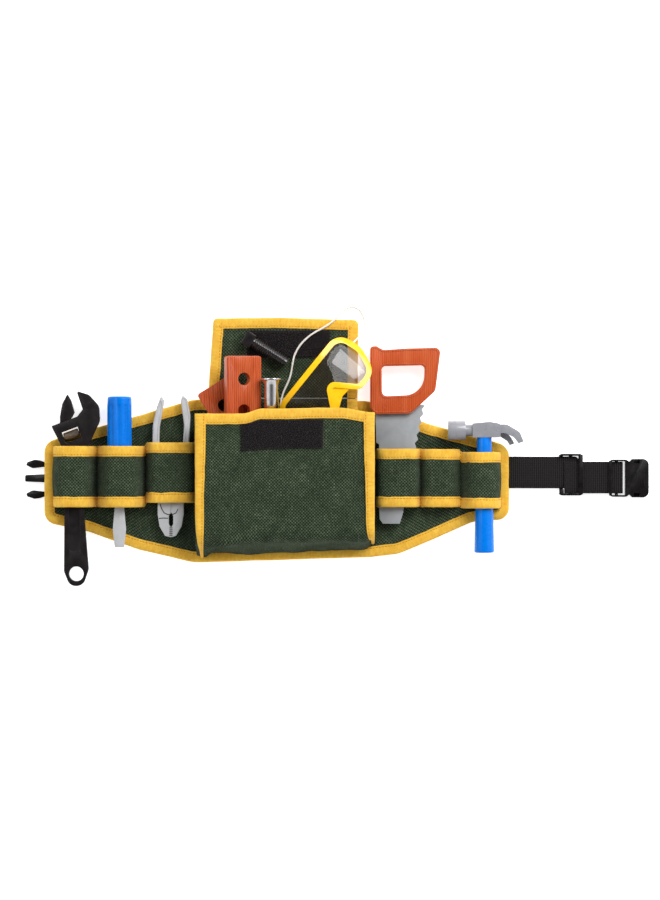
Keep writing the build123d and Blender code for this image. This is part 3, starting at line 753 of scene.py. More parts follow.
class Trimmings:
    """Stitches, beads and pile that Geometry Nodes lay along lines and over patches."""

    def __init__(self) -> None:
        self.stitch = self._stitch_tree()
        self.bead = self._bead_tree()
        self.pile = self._pile_tree()

    def _stitch_tree(self) -> Tree:
        """Stitches laid end to end along a line."""
        tree = Tree("stitch row")
        for name in ("Pitch", "Length", "Radius"):
            tree.size(name)
        tree.size("Material", "NodeSocketMaterial")
        tree.start()
        out = tree.source.outputs
        line = tree.add("GeometryNodeMeshToCurve", None, Mesh=out["Geometry"])
        row = tree.add("GeometryNodeResampleCurve", {"mode": "LENGTH"}, Curve=line.outputs[0],
                       Length=out["Pitch"])
        ball = tree.add("GeometryNodeMeshIcoSphere", None, Radius=1.0, Subdivisions=1)
        turn = tree.add("FunctionNodeAlignRotationToVector", {"axis": "Z"},
                        Vector=tree.add("GeometryNodeInputTangent").outputs[0])
        size = tree.add("ShaderNodeCombineXYZ", None, X=out["Radius"], Y=out["Radius"], Z=out["Length"])
        laid = tree.add("GeometryNodeInstanceOnPoints", None, Points=row.outputs[0], Instance=ball.outputs[0],
                        Rotation=turn.outputs[0], Scale=size.outputs[0])
        tree.finish(laid.outputs[0])
        return tree

    def _bead_tree(self) -> Tree:
        """A round bead along a line."""
        tree = Tree("bead")
        tree.size("Radius")
        tree.size("Material", "NodeSocketMaterial")
        tree.start()
        out = tree.source.outputs
        line = tree.add("GeometryNodeMeshToCurve", None, Mesh=out["Geometry"])
        ring = tree.add("GeometryNodeCurvePrimitiveCircle", None, Resolution=8, Radius=out["Radius"])
        rope = tree.add("GeometryNodeCurveToMesh", None, Curve=line.outputs[0],
                        Profile_Curve=ring.outputs[0], Fill_Caps=True)
        tree.finish(rope.outputs[0])
        return tree

    def _pile_tree(self) -> Tree:
        """Short bent hooks scattered over a patch."""
        tree = Tree("pile")
        for name in ("Density", "Height"):
            tree.size(name)
        tree.size("Seed", "NodeSocketInt")
        tree.size("Material", "NodeSocketMaterial")
        tree.start()
        out = tree.source.outputs
        spots = tree.add("GeometryNodeDistributePointsOnFaces", None, Mesh=out["Geometry"],
                         Density=out["Density"], Seed=out["Seed"])
        hook = tree.add("GeometryNodeMeshCone", None, Vertices=4, Radius_Top=0.12, Radius_Bottom=0.35,
                        Depth=1.0)
        spin = tree.add("FunctionNodeRandomValue", {"data_type": "FLOAT_VECTOR"})
        spin.inputs[0].default_value = (-0.9, -0.9, 0.0)
        spin.inputs[1].default_value = (0.9, 0.9, 6.28)
        tree.group.links.new(out["Seed"], spin.inputs["Seed"])
        laid = tree.add("GeometryNodeInstanceOnPoints", None, Points=spots.outputs[0],
                        Instance=hook.outputs[0],
                        Rotation=spin.outputs[0], Scale=out["Height"])
        tree.finish(laid.outputs[0])
        return tree

    def grow(self, name: str, tree: Tree, base: bpy.types.Object, **sizes) -> bpy.types.Object:
        """Runs a tree on a base and keeps only the plain mesh that it makes."""
        worker = base.modifiers.new(tree.group.name, "NODES")
        worker.node_group = tree.group
        for key, value in sizes.items():
            worker[tree.sizes[key]] = value
        bake_modifiers(base)
        base.name = name
        base.data.shade_smooth()
        return base

    def line(self, name: str, points: Sequence[Vector]) -> bpy.types.Object:
        """A chain of edges through points in metres."""
        mesh = bpy.data.meshes.new(name)
        mesh.from_pydata([tuple(p) for p in points], [(i, i + 1) for i in range(len(points) - 1)], [])
        return add_object(name, mesh)

    def stitches(self, name: str, points: Sequence[Vector], material: bpy.types.Material, slot: Slot,
                 body: str, pitch: float = 3.0, length: float = 1.15,
                 radius: float = 0.42) -> bpy.types.Object:
        """One row of stitches along points in metres; its sizes are millimetres."""
        made = self.grow(name, self.stitch, self.line(name, points), Pitch=pitch * MM,
                         Length=length * MM, Radius=radius * MM, Material=material)
        return dress(made, material, slot, body)

    def beading(self, name: str, points: Sequence[Vector], material: bpy.types.Material, slot: Slot,
                body: str, radius: float) -> bpy.types.Object:
        """A round raised line along points in metres; its radius is in millimetres."""
        made = self.grow(name, self.bead, self.line(name, points), Radius=radius * MM, Material=material)
        return dress(made, material, slot, body)


# ---- the belt's cloth ----
END_RISE, RISE_FLAT_X, RISE_END_X = 5.8, -208.0, -182.0
PANEL_TOP = 3.2
UP = Vector((0, 0, 1))


def rise(x: float) -> float:
    """How far the male buckle lifts the panel's end, in millimetres."""
    return END_RISE * smooth_step(x, RISE_END_X, RISE_FLAT_X) if x < RISE_END_X else 0.0


def sideways(points: Sequence[Vector], edge: Edge) -> list[Vector]:
    """Unit vectors to the left of a flat line at each of its points."""
    count, result = len(points), []
    for i, point in enumerate(points):
        if edge is Edge.CLOSED:
            back, ahead = points[i - 1], points[(i + 1) % count]
        else:
            back, ahead = points[max(i - 1, 0)], points[min(i + 1, count - 1)]
        way = (ahead - back).normalized()
        result.append(Vector((-way.y, way.x, 0)))
    return result


@dataclass
class SubAssembly:
    """What every part of the belt is built with."""

    finishes: Finishes
    trims: Trimmings

    def hard(self, node: str, body: str, material: bpy.types.Material, slot: Slot, width: float = 0.5,
             segments: int = 2) -> bpy.types.Object:
        """A moulded part: its CAD node with rounded edges."""
        return dress(softened(node, node + "_skin", width, segments), material, slot, body, node)

    def taped(self, made: tuple[bpy.types.Object, list[Vector]], stitches: str, body: str, node: str) -> None:
        """Dresses a tape and sews it along its stitch line.

        Args:
            made: The tape and its stitch line.
            stitches: The stitches' name.
            body: The body that both ride on.
            node: The CAD node that the tape stands for.
        """
        tape, seam = made
        dress(tape, self.finishes.tape, Slot.TAPE, body, node)
        self.trims.stitches(stitches, seam, self.finishes.thread, Slot.TAPE, body)

    def napped(self, sheet: bpy.types.Object, name: str, body: str, node: str, density: float,
               height: float, seed: int) -> None:
        """Dresses a sheet as nap fabric and grows its pile, as a piece of its own.

        Args:
            sheet: The backing.
            name: The pile's name.
            body: The body that both ride on.
            node: The CAD node that the backing stands for.
            density: Hooks to a square metre.
            height: A hook's height in metres.
            seed: Sets where the hooks stand.
        """
        nap = self.finishes.nap
        pile = add_object(name, sheet.data.copy())
        dress(sheet, nap, Slot.NAP, body, node)
        self.trims.grow(name, self.trims.pile, pile, Density=density, Height=height, Seed=seed, Material=nap)
        dress(pile, nap, Slot.NAP, body)


@dataclass
class Panel(SubAssembly):
    """The belt's long back panel and the tape round it."""

    outline: list[Corner] = field(default_factory=lambda: [
        ((-232, 38.5), 13), ((-83, 81.5), 30), ((91, 80), 25), ((150, 57.5), 60), ((232, 35), 14),
        ((232, -38), 12), ((196, -40.5), 25), ((150, -61), 60), ((122, -72.5), 30), ((95, -76), 30),
        ((-83, -81.5), 60), ((-140, -68), 80), ((-190, -50), 80), ((-232, -41), 13),
    ])
    step: float = 2.4
    hidden: float = 5.0  # how far the tape covers the cloth's edge
    columns: int = 44
    waves: tuple[Wave, ...] = ((0.35, 26, 3.1), (0.2, 9, 8.4))

    def span_at(self, edge: Sequence[Vector], x: float) -> tuple[float, float]:
        """The outline's lowest and highest y at an x."""
        found = []
        for a, b in zip(edge, list(edge[1:]) + [edge[0]]):
            if (a.x - x) * (b.x - x) <= 0 and abs(a.x - b.x) > 1e-6:
                found.append(a.y + (b.y - a.y) * (x - a.x) / (b.x - a.x))
        return min(found), max(found)

    def build(self) -> None:
        """Builds the cloth, the folded tape and its stitches."""
        edge = evenly(rounded(self.outline), 2.0, Edge.CLOSED)
        rows, x, end = [], min(p.x for p in edge) + self.hidden, max(p.x for p in edge) - self.hidden
        while x < end:
            low, high = self.span_at(edge, x)
            low, high = low + self.hidden, high - self.hidden
            row = []
            for k in range(self.columns + 1):
                y = low + (high - low) * k / self.columns
                row.append(at(x, y, rise(x) + PANEL_TOP / 2 + 0.25 + uneven(x, y, self.waves)))
            rows.append(row)
            x += self.step
        body = cloth("panel_cloth", rows, PANEL_TOP - 0.4)
        dress(body, self.finishes.canvas, Slot.CANVAS, "belt", "back_panel")
        path = [Vector((p.x, p.y, rise(p.x) + 2.4)) for p in edge]
        inward = [-side for side in sideways(edge, Edge.CLOSED)]
        made = FoldedTape(half=2.1).build("panel_tape", path, inward, [UP] * len(path), Edge.CLOSED, 1.0)
        self.taped(made, "panel_tape_stitches", "belt", "panel_binding")


@dataclass(frozen=True)
class Loop:
    """One loop of a strip."""

    left: float
    right: float
    clear: float  # room under the cloth, above the ground
    lean_left: float
    lean_right: float
    bend: float
    shift_top: float = 0.0  # how far each edge is sewn above its mean line
    shift_bottom: float = 0.0


@dataclass
class LoopStrip(SubAssembly):
    """A strip of cloth sewn to the panel between its loops, taped along both edges."""

    side: str = "left"
    loops: list[Loop] = field(default_factory=list)
    top_y: float = 35.0
    bottom_y: float = -26.0
    thick: float = 1.6
    tape_half: float = 1.35
    foot_inset: float = 1.3
    foot_bend: float = 1.2
    columns: int = 30

    def line(self) -> list[Vector]:
        """The strip's middle line seen along y, as points in x and z."""
        corners: list[Corner] = []
        for loop in self.loops:
            left, right = loop.left + self.foot_inset, loop.right - self.foot_inset
            top = loop.clear + self.thick / 2
            low = PANEL_TOP + self.thick / 2 + 0.4
            bend = loop.bend + 1.5  # the bend is measured inside the cloth
            corners += [
                ((left, rise(loop.left) + low), self.foot_bend), ((left + loop.lean_left, top), bend),
                ((right - loop.lean_right, top), bend), ((right, rise(loop.right) + low), self.foot_bend),
            ]
        return evenly(rounded(corners, Edge.OPEN, 1.5), 1.2, Edge.OPEN)

    def edges(self, x: float) -> tuple[float, float]:
        """The strip's top and bottom y at an x, with a small step at each seam."""
        top, bottom = self.top_y + self.loops[0].shift_top, self.bottom_y + self.loops[0].shift_bottom
        for before, loop in zip(self.loops, self.loops[1:]):
            share = smooth_step(x, loop.left - 1.5, loop.left + 1.5)
            top += (loop.shift_top - before.shift_top) * share
            bottom += (loop.shift_bottom - before.shift_bottom) * share
        return top, bottom

    def soft(self, x: float, y: float, z: float) -> float:
        """How far the cloth stands out between its tapes."""
        middle = 1 - abs(2 * (y - self.bottom_y) / (self.top_y - self.bottom_y) - 1)
        return (0.9 * smooth_step(middle, 0.3, 0.9) + 0.55 * ripple(x + z, y, 13, 5.2)
                + 0.5 * ripple(x * 2.2 + z, y * 0.5, 12, 2.9))

    def build(self) -> None:
        """Builds the cloth, both tapes, their stitches and the seams."""
        line = self.line()
        ahead = sideways(line, Edge.OPEN)
        normals = [Vector((n.x, 0, n.y)) for n in ahead]
        rows = []
        for point, normal in zip(line, normals):
            row = []
            high, low = self.edges(point.x)
            for k in range(self.columns + 1):
                y = high - 5 - (high - low - 10) * k / self.columns
                place = Vector((point.x, y, point.y)) + normal * self.soft(point.x, y, point.y) * 0.8
                row.append(place * MM)
            rows.append(row)
        strip = cloth(f"{self.side}_loop_cloth", rows, self.thick)
        dress(strip, self.finishes.canvas, Slot.CANVAS, "belt", f"loop_strip_{self.side}")
        for number, (edge_name, way, seed) in enumerate((("top", -1, 2.0), ("bottom", 1, 4.0))):
            name = f"{self.side}_loop_tape_{edge_name}"
            path = [Vector((p.x, self.edges(p.x)[number], p.y)) for p in line]
            made = FoldedTape(half=self.tape_half, waviness=0.5).build(
                name, path, [Vector((0, way, 0))] * len(path), normals, Edge.OPEN, seed + len(self.side))
            self.taped(made, f"{name}_stitches", "belt", f"loop_binding_{self.side}_{edge_name}")
        for k, loop in enumerate(self.loops[1:]):
            low = rise(loop.left) + PANEL_TOP + self.thick + 0.7
            seam = [at(loop.left, y, low) for y in (self.bottom_y + 1, 0, self.top_y - 1)]
            # Dark thread along each seam: real stitches whose dark colour also stands in as painted shade in
            # the seam's valley.
            self.trims.stitches(f"{self.side}_loop_seam_{k + 1}", seam, self.finishes.green_thread,
                                Slot.CANVAS, "belt")


@dataclass
class Pouch(SubAssembly):
    """The box pouch: a soft front folded down at its foot, two side walls and their tapes."""

    left: float = -80.5
    right: float = 97.0
    profile: list[Corner] = field(default_factory=lambda: [
        ((70, 48), 0), ((-60, 40), 17), ((-75, 4.2), 0),
    ])
    thick: float = 1.6
    step: float = 2.2
    waves: tuple[Wave, ...] = ((1.6, 42, 1.7), (0.25, 7, 3.3))
    ridge_height: float = 2.4
    hollow_depth: float = 1.8
    tape_half: float = 1.7
    tuck: float = 4.5  # how far the left tape turns in towards its foot
    back_cloth: tuple[float, float, float, float] = (-66.0, 78.0, 62.0, 82.2)

    def section(self) -> list[Vector]:
        """The front seen along x, as points in y and z from the mouth down."""
        return evenly(rounded(self.profile, Edge.OPEN, 2.0), self.step, Edge.OPEN)

    def mouth_shift(self, x: float) -> float:
        """How far the mouth's edge stands above or below its mean line."""
        step = -3.0 + 5.0 * smooth_step(x, -34, -14)
        return step + 0.8 * smooth_step(x, 10, 40) - 4.6 * smooth_step(x, 62, 97)

    def heel(self, x: float, run: float) -> float:
        """How far the foot's fold is pulled up, more towards the strap's side."""
        along = (x - self.left) / (self.right - self.left)
        dip = 3.2 * math.exp(-(((along - 0.045) / 0.03) ** 2))
        pull = 1.0 - dip + 6.0 * along + 6.0 * smooth_step(along, 0.95, 1.0)
        return pull * smooth_step(run, 112, 162)

    def fold(self, corner: float, run: float) -> float:
        """The slanting ridge and hollow that run from the foot's left corner."""
        ridge = math.exp(-(((run - 150 + 0.42 * corner) / 5.0) ** 2)) * smooth_step(70 - corner, 0, 40)
        hollow = math.exp(-(((run - 136 + 0.3 * corner) / 8.0) ** 2)) * smooth_step(90 - corner, 0, 60)
        return self.ridge_height * ridge - self.hollow_depth * hollow

    def front(self, x: float, s: int, line: Sequence[Vector], normals: Sequence[Vector],
              lift: float) -> Vector:
        """A point of the soft front.

        Args:
            x: The place along the belt.
            s: The point's number down the section.
            line: The section.
            normals: The section's normals.
            lift: A height above the cloth's middle.

        Returns:
            The point in millimetres.
        """
        run = s * self.step
        side = min(x - self.left, self.right - x)
        puff = uneven(x, run, self.waves) + 0.7 * ripple(x, run * 1.4, 17, 6.1)
        crease = 1.5 * ripple(x * 1.6, run * 0.4, 30, 9.4) * smooth_step(run, 95, 125)
        sag = -1.3 * math.sin(math.pi * min(run / 130, 1.0)) * smooth_step(side, 4, 50)
        fixed = smooth_step(run, 4, 30) * smooth_step(side, 2, 16)
        crease += self.fold(x - self.left, run)
        place, normal = line[s], normals[s]
        out = (puff + crease + sag) * fixed + lift
        shift = self.mouth_shift(x) * (1 - smooth_step(run, 0, 42)) + self.heel(x, run)
        return Vector((x, place.x + shift + normal.y * out, place.y + normal.z * out))

    def build(self) -> None:
        """Builds the front, its tapes, the side walls and the hook patch."""
        line = self.section()
        flat = sideways(line, Edge.OPEN)
        normals = [Vector((0, -n.x, -n.y)) for n in flat]
        last = len(line) - 1
        columns = round((self.right - self.left - 2) / self.step)
        xs = [self.left + 1 + (self.right - self.left - 2) * k / columns for k in range(columns + 1)]
        rows = [[self.front(x, s, line, normals, -0.8) * MM for x in xs] for s in range(1, last + 1)]
        front = cloth("pouch_front_cloth", rows, self.thick)
        dress(front, self.finishes.canvas, Slot.CANVAS, "belt", "pouch_front")
        self.tapes(line, normals, last, xs)
        self.walls(line, last)
        self.patch(line, normals)
        self.back()

    def back(self) -> None:
        """The pouch's own back cloth, which laps over the panel's edge up to the flap, and its tapes."""
        def lap(y: float) -> float:
            """Height of the lap over the panel's tape."""
            return 2.1 + 3.6 * smooth_step(84.0 - y, 0.5, 3.6)

        left, right, low, high = self.back_cloth
        rows = [[at(left + (right - left) * k / 48, low + (high - low) * i / 12,
                    lap(low + (high - low) * i / 12) + 0.15 * ripple(k, i, 5, 4.4))
                 for k in range(49)] for i in range(13)]
        sheet = cloth("pouch_back_cloth", rows, 1.2)
        dress(sheet, self.finishes.canvas, Slot.CANVAS, "belt")
        for name, x, way, seed in (("left", -69.4, 1, 23.0), ("right", 80.6, -1, 29.0)):
            ys = [low + (high - low) * i / 10 for i in range(11)]
            path = [Vector((x, y, lap(y))) for y in ys]
            tape, _ = FoldedTape(half=1.3).build(
                f"pouch_back_tape_{name}", path, [Vector((way, 0, 0))] * len(path), [UP] * len(path),
                Edge.OPEN, seed)
            dress(tape, self.finishes.tape, Slot.TAPE, "belt")

    def tapes(self, line: Sequence[Vector], normals: Sequence[Vector], last: int,
              xs: Sequence[float]) -> None:
        """The mouth's tape and the tapes down both sides."""
        mouth = [self.front(x, 0, line, normals, -0.7) for x in xs]
        down = Vector((0, -1, -0.06)).normalized()
        up = Vector((0, -0.06, 1)).normalized()
        folded = FoldedTape(half=self.tape_half, waviness=0.5)
        made = folded.build("pouch_mouth_tape", mouth, [down] * len(mouth), [up] * len(mouth), Edge.OPEN,
                            11.0)
        self.taped(made, "pouch_mouth_stitches", "belt", "pouch_mouth_binding")
        for name, x, way, seed in (("left", self.left - 0.3, 1, 13.0), ("right", self.right + 0.3, -1, 17.0)):
            path, ups = [], []
            for s in range(0, last):
                tuck = self.tuck * smooth_step(s / last, 0.6, 1.0) if name == "left" else 0.0
                place = self.front(x + tuck, s, line, normals, -0.4)
                path.append(place + normals[s] * 0.6 * min(s / 4, 1))
                ups.append(normals[s])
            made = folded.build(
                f"pouch_tape_{name}", path, [Vector((way, 0, 0))] * len(path), ups, Edge.OPEN, seed,
                lambda share: 1.04 - 0.2 * smooth_step(share, 0.1, 0.6)
                - 0.55 * smooth_step(share, 0.62, 1.0))
            self.taped(made, f"pouch_tape_{name}_stitches", "belt", f"pouch_binding_{name}")

    def walls(self, line: Sequence[Vector], last: int) -> None:
        """The two side walls, bowed in a little between front and panel."""
        for name, x, way in (("left", self.left + 0.8, 1), ("right", self.right - 0.8, -1)):
            rows = []
            for s in range(5, last):
                place, row = line[s], []
                for k in range(15):
                    share = k / 14
                    z = place.y - 1.2 + (PANEL_TOP + 0.2 - place.y + 1.2) * share
                    bow = 1.8 * math.sin(math.pi * share) + 0.8 * ripple(place.x, z, 16, 4.0 + x)
                    y = place.x + self.heel(x, s * self.step)
                    row.append(at(x + way * max(bow, -0.6), y, max(z, PANEL_TOP + 0.2)))
                rows.append(row)
            wall = cloth(f"pouch_wall_{name}", rows, self.thick)
            dress(wall, self.finishes.canvas, Slot.CANVAS, "belt", f"pouch_gusset_{name}")

    def patch(self, line: Sequence[Vector], normals: Sequence[Vector]) -> None:
        """The nap patch below the mouth, with its own stitches and hooks."""
        first, end, x0, x1 = 5, 17, -35.0, 46.0
        xs = [x0 + (x1 - x0) * k / 34 for k in range(35)]
        fine = []
        for step in range((end - first) * 2 + 1):
            s = first + step // 2
            row = []
            for x in xs:
                here = self.front(x, s, line, normals, 0.6)
                there = self.front(x, s + 1, line, normals, 0.6)
                slant = 2.6 * (step / ((end - first) * 2)) * ((x1 - x) / (x1 - x0)) ** 3
                point = here.lerp(there, 0.5 * (step % 2)) - Vector((0, slant, 0))
                row.append((point + normals[s] * 0.25 * ripple(x, s * 2.2, 8, 2.2)) * MM)
            fine.append(row)
        self.napped(cloth("pouch_hook_patch", fine, 1.1), "pouch_hooks", "belt", "hook_patch", 900000.0,
                    0.0008, 7)
        edge = fine[0] + [row[-1] for row in fine] + fine[-1][::-1] + [row[0] for row in fine][::-1]
        middle = sum(edge, Vector()) / len(edge)
        inset = [p.lerp(middle, 0.045) + Vector((0, 0, 0.0007)) for p in edge]
        self.trims.stitches("pouch_hook_patch_stitches", inset, self.finishes.green_thread, Slot.NAP, "belt")


@dataclass
class Flap(SubAssembly):
    """The pouch's flap, open above the panel, with a nap strip inside."""

    corners: list[Corner] = field(default_factory=lambda: [
        ((-69, 82.4), 0), ((-63.5, 162.5), 4), ((0, 163.4), 200), ((81.5, 161), 5), ((80.5, 82.4), 0),
    ])
    patch: tuple[float, float, float, float] = (-30.0, 53.0, 123.5, 150.5)
    waves: tuple[Wave, ...] = ((0.45, 24, 7.7), (0.15, 8, 1.3))

    def build(self) -> None:
        """Builds the cloth, the tape on three sides and the nap strip."""
        rows = []
        for i in range(33):
            y = 83.0 + (159.0 - 83.0) * i / 32
            row = []
            for k in range(61):
                left = -65.0 + 5.5 * (y - 82.0) / 80.0
                x = left + (77.4 - left) * k / 60
                row.append(at(x, y, 1.75 + uneven(x, y, self.waves)))
            rows.append(row)
        sheet = cloth("flap_lining", rows, 2.2)
        dress(sheet, self.finishes.canvas, Slot.CANVAS, "flap", "flap_cloth")
        edge = evenly(rounded(self.corners, Edge.OPEN), 2.0, Edge.OPEN)
        path = [Vector((p.x, p.y, 2.0)) for p in edge]
        inward = [-side for side in sideways(edge, Edge.OPEN)]
        made = FoldedTape(half=1.75, waviness=0.5).build(
            "flap_tape", path, inward, [UP] * len(path), Edge.OPEN, 19.0)
        self.taped(made, "flap_tape_stitches", "flap", "flap_binding")
        x0, x1, y0, y1 = self.patch
        grid = [[at(x0 + (x1 - x0) * k / 34, y0 + (y1 - y0) * i / 12,
                    3.4 + 0.3 * ripple(k, i, 5, 2.0)) for k in range(35)] for i in range(13)]
        self.napped(cloth("flap_nap_strip", grid, 0.9), "flap_nap_pile", "flap", "loop_patch", 700000.0,
                    0.0007, 3)
        corners = ((x0 + 2, y0 + 2), (x1 - 2, y0 + 2), (x1 - 2, y1 - 2), (x0 + 2, y1 - 2), (x0 + 2, y0 + 2))
        inset = [at(x, y, 4.2) for x, y in corners]
        self.trims.stitches("flap_nap_stitches", inset, self.finishes.green_thread, Slot.NAP, "flap")


# ---- the strap and its hardware ----
@dataclass
class Strap(SubAssembly):
    """The waist strap, its slider and both halves of the buckle."""

    half_width: float = 15.875
    thick: float = 1.5
    start_y: float = 8.6
    end_y: float = 3.5
    turn_point: int = 109  # from here on the strap runs back from the buckle
    strap_line: list[Corner] = field(default_factory=lambda: [
        ((221.8, 2.6), 0), ((344.75, 2.35), 2.7), ((344.75, 7.85), 2.7), ((332, 7.3), 14), ((309, 4.15), 14),
        ((287, 4.0), 0),
    ])
    tab_line: list[Corner] = field(default_factory=lambda: [
        ((-192, 0.55), 0), ((-218.4, 0.5), 2.2), ((-218.4, 5.1), 2.2), ((-208, 5.1), 5), ((-193, 2.3), 0),
    ])

    def band(self, name: str, corners: Sequence[Corner], thick: float, half: float,
             sideways_at: Callable[[int, float], float]) -> bpy.types.Object:
        """A flat woven band along a line in x and z.

        Args:
            name: The piece's name.
            corners: The line's corners.
            thick: The band's thickness.
            half: Half its width.
            sideways_at: The middle's y for a point's number and its x.

        Returns:
            The piece.
        """
        line = evenly(rounded(corners, Edge.OPEN, 1.0), 1.1, Edge.OPEN)
        ups = [Vector((n.x, 0, n.y)) for n in sideways(line, Edge.OPEN)]
        across = [-1, -0.985, -0.93, -0.6, -0.2, 0.2, 0.6, 0.93, 0.985, 1]
        height = [0.0, 0.36, 0.5, 0.46, 0.5, 0.5, 0.46, 0.5, 0.36, 0.0]
        upper = list(zip(across, height))
        ring = upper + [(a, -h) for a, h in reversed(upper[1:-1])]
        rows = []
        for i, (point, up) in enumerate(zip(line, ups)):
            middle = sideways_at(i, point.x)
            wave = 0.25 * ripple(point.x, i, 11, 6.6)
            rows.append([(Vector((point.x, middle + a * half + wave * 0.4, point.y)) + up * h * thick) * MM
                         for a, h in ring])
        return loft(name, rows, wrap_across=True, caps=True)

    def build(self) -> None:
        """Builds the band, the tab and the four moulded pieces."""
        strap = self.band("waist_strap", self.strap_line, self.thick, self.half_width,
                          lambda i, x: self.start_y + (self.end_y - self.start_y)
                          * (smooth_step(x, 298, 305) if i < self.turn_point else 1.0))
        dress(strap, self.finishes.webbing, Slot.WEBBING, "belt", "strap_webbing")
        tab = self.band("buckle_tab_band", self.tab_line, 0.85, self.half_width, lambda i, x: 1.75)
        dress(tab, self.finishes.webbing, Slot.WEBBING, "belt", "buckle_tab")
        black, slot = self.finishes.buckle, Slot.BLACK
        self.hard("strap_slider", "slider", black, slot, 0.6)
        self.hard("buckle_female", "female_buckle", black, slot, 0.6)
        self.hard("buckle_male", "belt", black, slot, 0.5)
        self.hard("buckle_prong_upper", "upper_prong", black, slot, 0.6)
        self.hard("buckle_prong_lower", "lower_prong", black, slot, 0.6)
        low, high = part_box("buckle_female")
        for k in range(4):
            x = high.x - (4.5 + 2.6 * k) * MM
            rib = [Vector((x, low.y + 11 * MM, high.z)), Vector((x, high.y - 11 * MM, high.z))]
            self.trims.beading(f"buckle_grip_{k + 1}", rib, black, slot, "female_buckle", 0.35)
        for k, x in enumerate((224.5, 227.0)):
            row = [at(x, self.start_y + y, 3.6) for y in (-14, 0, 14)]
            self.trims.stitches(f"strap_tack_{k + 1}", row, self.finishes.green_thread, Slot.WEBBING,
                                "belt", 2.2, 0.9)


# ---- the toy tools ----
@dataclass
class Wrench(SubAssembly):
    """The adjustable wrench with its knurled worm."""

    head: tuple[float, float, float] = (-224.5, 54.7, 20.5)
    worm_t: float = -15.0
    worm: tuple[float, float] = (8.0, 23.6)
    radius: float = 4.05
    ridge: float = 0.55
    teeth: int = 16
    slant: float = 2.6
    end_step: float = 0.5

    def build(self) -> None:
        """Builds the wrench."""
        black, slot = self.finishes.tool_black, Slot.TOOL_BLACK
        self.hard("wrench_body", "wrench", black, slot, 0.7)
        self.hard("wrench_jaw", "moving_jaw", black, slot, 0.6)
        self.hard("wrench_worm_pin", "wrench", black, slot, 0.2)
        x, y, angle = self.head
        low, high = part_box("wrench_body")
        middle = (low.z + high.z) / 2 / MM
        place = Matrix.Translation(at(x, y, middle)) @ Matrix.Rotation(math.radians(angle), 4, "Z")
        rows, count, around = [], 56, 96
        for i in range(count + 1):
            s = self.worm[0] + (self.worm[1] - self.worm[0]) * i / count
            end = min(i, count - i)
            row = []
            for k in range(around):
                turn = 2 * math.pi * k / around
                one = math.sin(self.teeth * turn + s * self.slant)
                other = math.sin(self.teeth * turn - s * self.slant)
                bump = self.ridge * max(0.0, one * other) ** 0.6 * min(end / 3, 1)
                r = self.radius + bump - (self.end_step if end < 2 else 0)
                row.append(place @ at(s, self.worm_t + r * math.cos(turn), r * math.sin(turn)))
            rows.append(row)
        worm = loft("wrench_knurl", rows, wrap_across=True, caps=True)
        dress(worm, self.finishes.bronze, Slot.BRONZE, "worm", "wrench_worm")


@dataclass
class Pliers(SubAssembly):
    """The pliers: two crossed halves whose handles have raised rims."""

    left_rim: list[Corner] = field(default_factory=lambda: [
        ((-115.8, 83.6), 1.5), ((-118.3, 74), 18), ((-122.4, 56), 18), ((-122.8, 36), 18), ((-117.8, 13), 18),
        ((-112.6, 8), 2), ((-108, 6.8), 2), ((-113.4, 20), 10), ((-118.3, 38), 18), ((-118, 54), 18),
        ((-114.0, 76), 3),
    ])
    right_rim: list[Corner] = field(default_factory=lambda: [
        ((-94.0, 84.8), 1.5), ((-90.4, 81.4), 3), ((-87.4, 66), 18), ((-88.6, 38), 18), ((-92.7, 15), 18),
        ((-98.4, 8), 2), ((-103, 6.8), 2), ((-97.2, 20), 10), ((-92.4, 38), 18), ((-91.2, 56), 18),
        ((-94.2, 77), 8),
    ])

    def build(self) -> None:
        """Builds both halves, the pivot and the rims."""
        silver, slot = self.finishes.pale_silver, Slot.SILVER
        self.hard("pliers_lower_half", "pliers", silver, slot, 0.7)
        self.hard("pliers_upper_half", "pliers_other_half", silver, slot, 0.7)
        self.hard("pliers_pivot_pin", "pliers", silver, slot, 0.5)
        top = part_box("pliers_upper_half")[1].z / MM
        rims = ("left", self.left_rim, "pliers"), ("right", self.right_rim, "pliers_other_half")
        for name, rim, body in rims:
            line = [at(p.x, p.y, top) for p in rounded(rim)]
            self.trims.beading(f"pliers_rim_{name}", line + [line[0]], silver, slot, body, 0.75)
        x, y = -105.5, -8.0
        ring = [at(x + 4.9 * math.cos(a * math.pi / 16), y + 4.9 * math.sin(a * math.pi / 16), top)
                for a in range(33)]
        self.trims.beading("pliers_boss_ring", ring, silver, slot, "pliers_other_half", 0.6)
        dark, dark_slot = self.finishes.tool_black, Slot.TOOL_BLACK
        seams = (
            ("upper", ((-116.4, -22.8), (-114.6, -28.0), (-112.4, -31.6), (-109, -33.2), (-106.2, -33.4))),
            ("lower", ((-117.6, -37.2), (-113, -36.8), (-108.4, -37.0))),
            ("right", ((-104.8, -33.6), (-100.6, -31.8), (-98.4, -27.6))),
        )
        for name, places in seams:
            self.trims.beading(f"pliers_seam_{name}", [at(px, py, top) for px, py in places], dark,
                               dark_slot, "pliers_other_half", 0.45)
        for k in range(5):
            for side in (-1, 1):
                tooth = [at(x + side * 0.3, -46.6 - 1.9 * k, top), at(x + side * 1.5, -46.6 - 1.9 * k, top)]
                where = "left" if side < 0 else "right"
                self.trims.beading(f"pliers_grip_{k + 1}_{where}", tooth, dark, dark_slot,
                                   "pliers_other_half", 0.42)


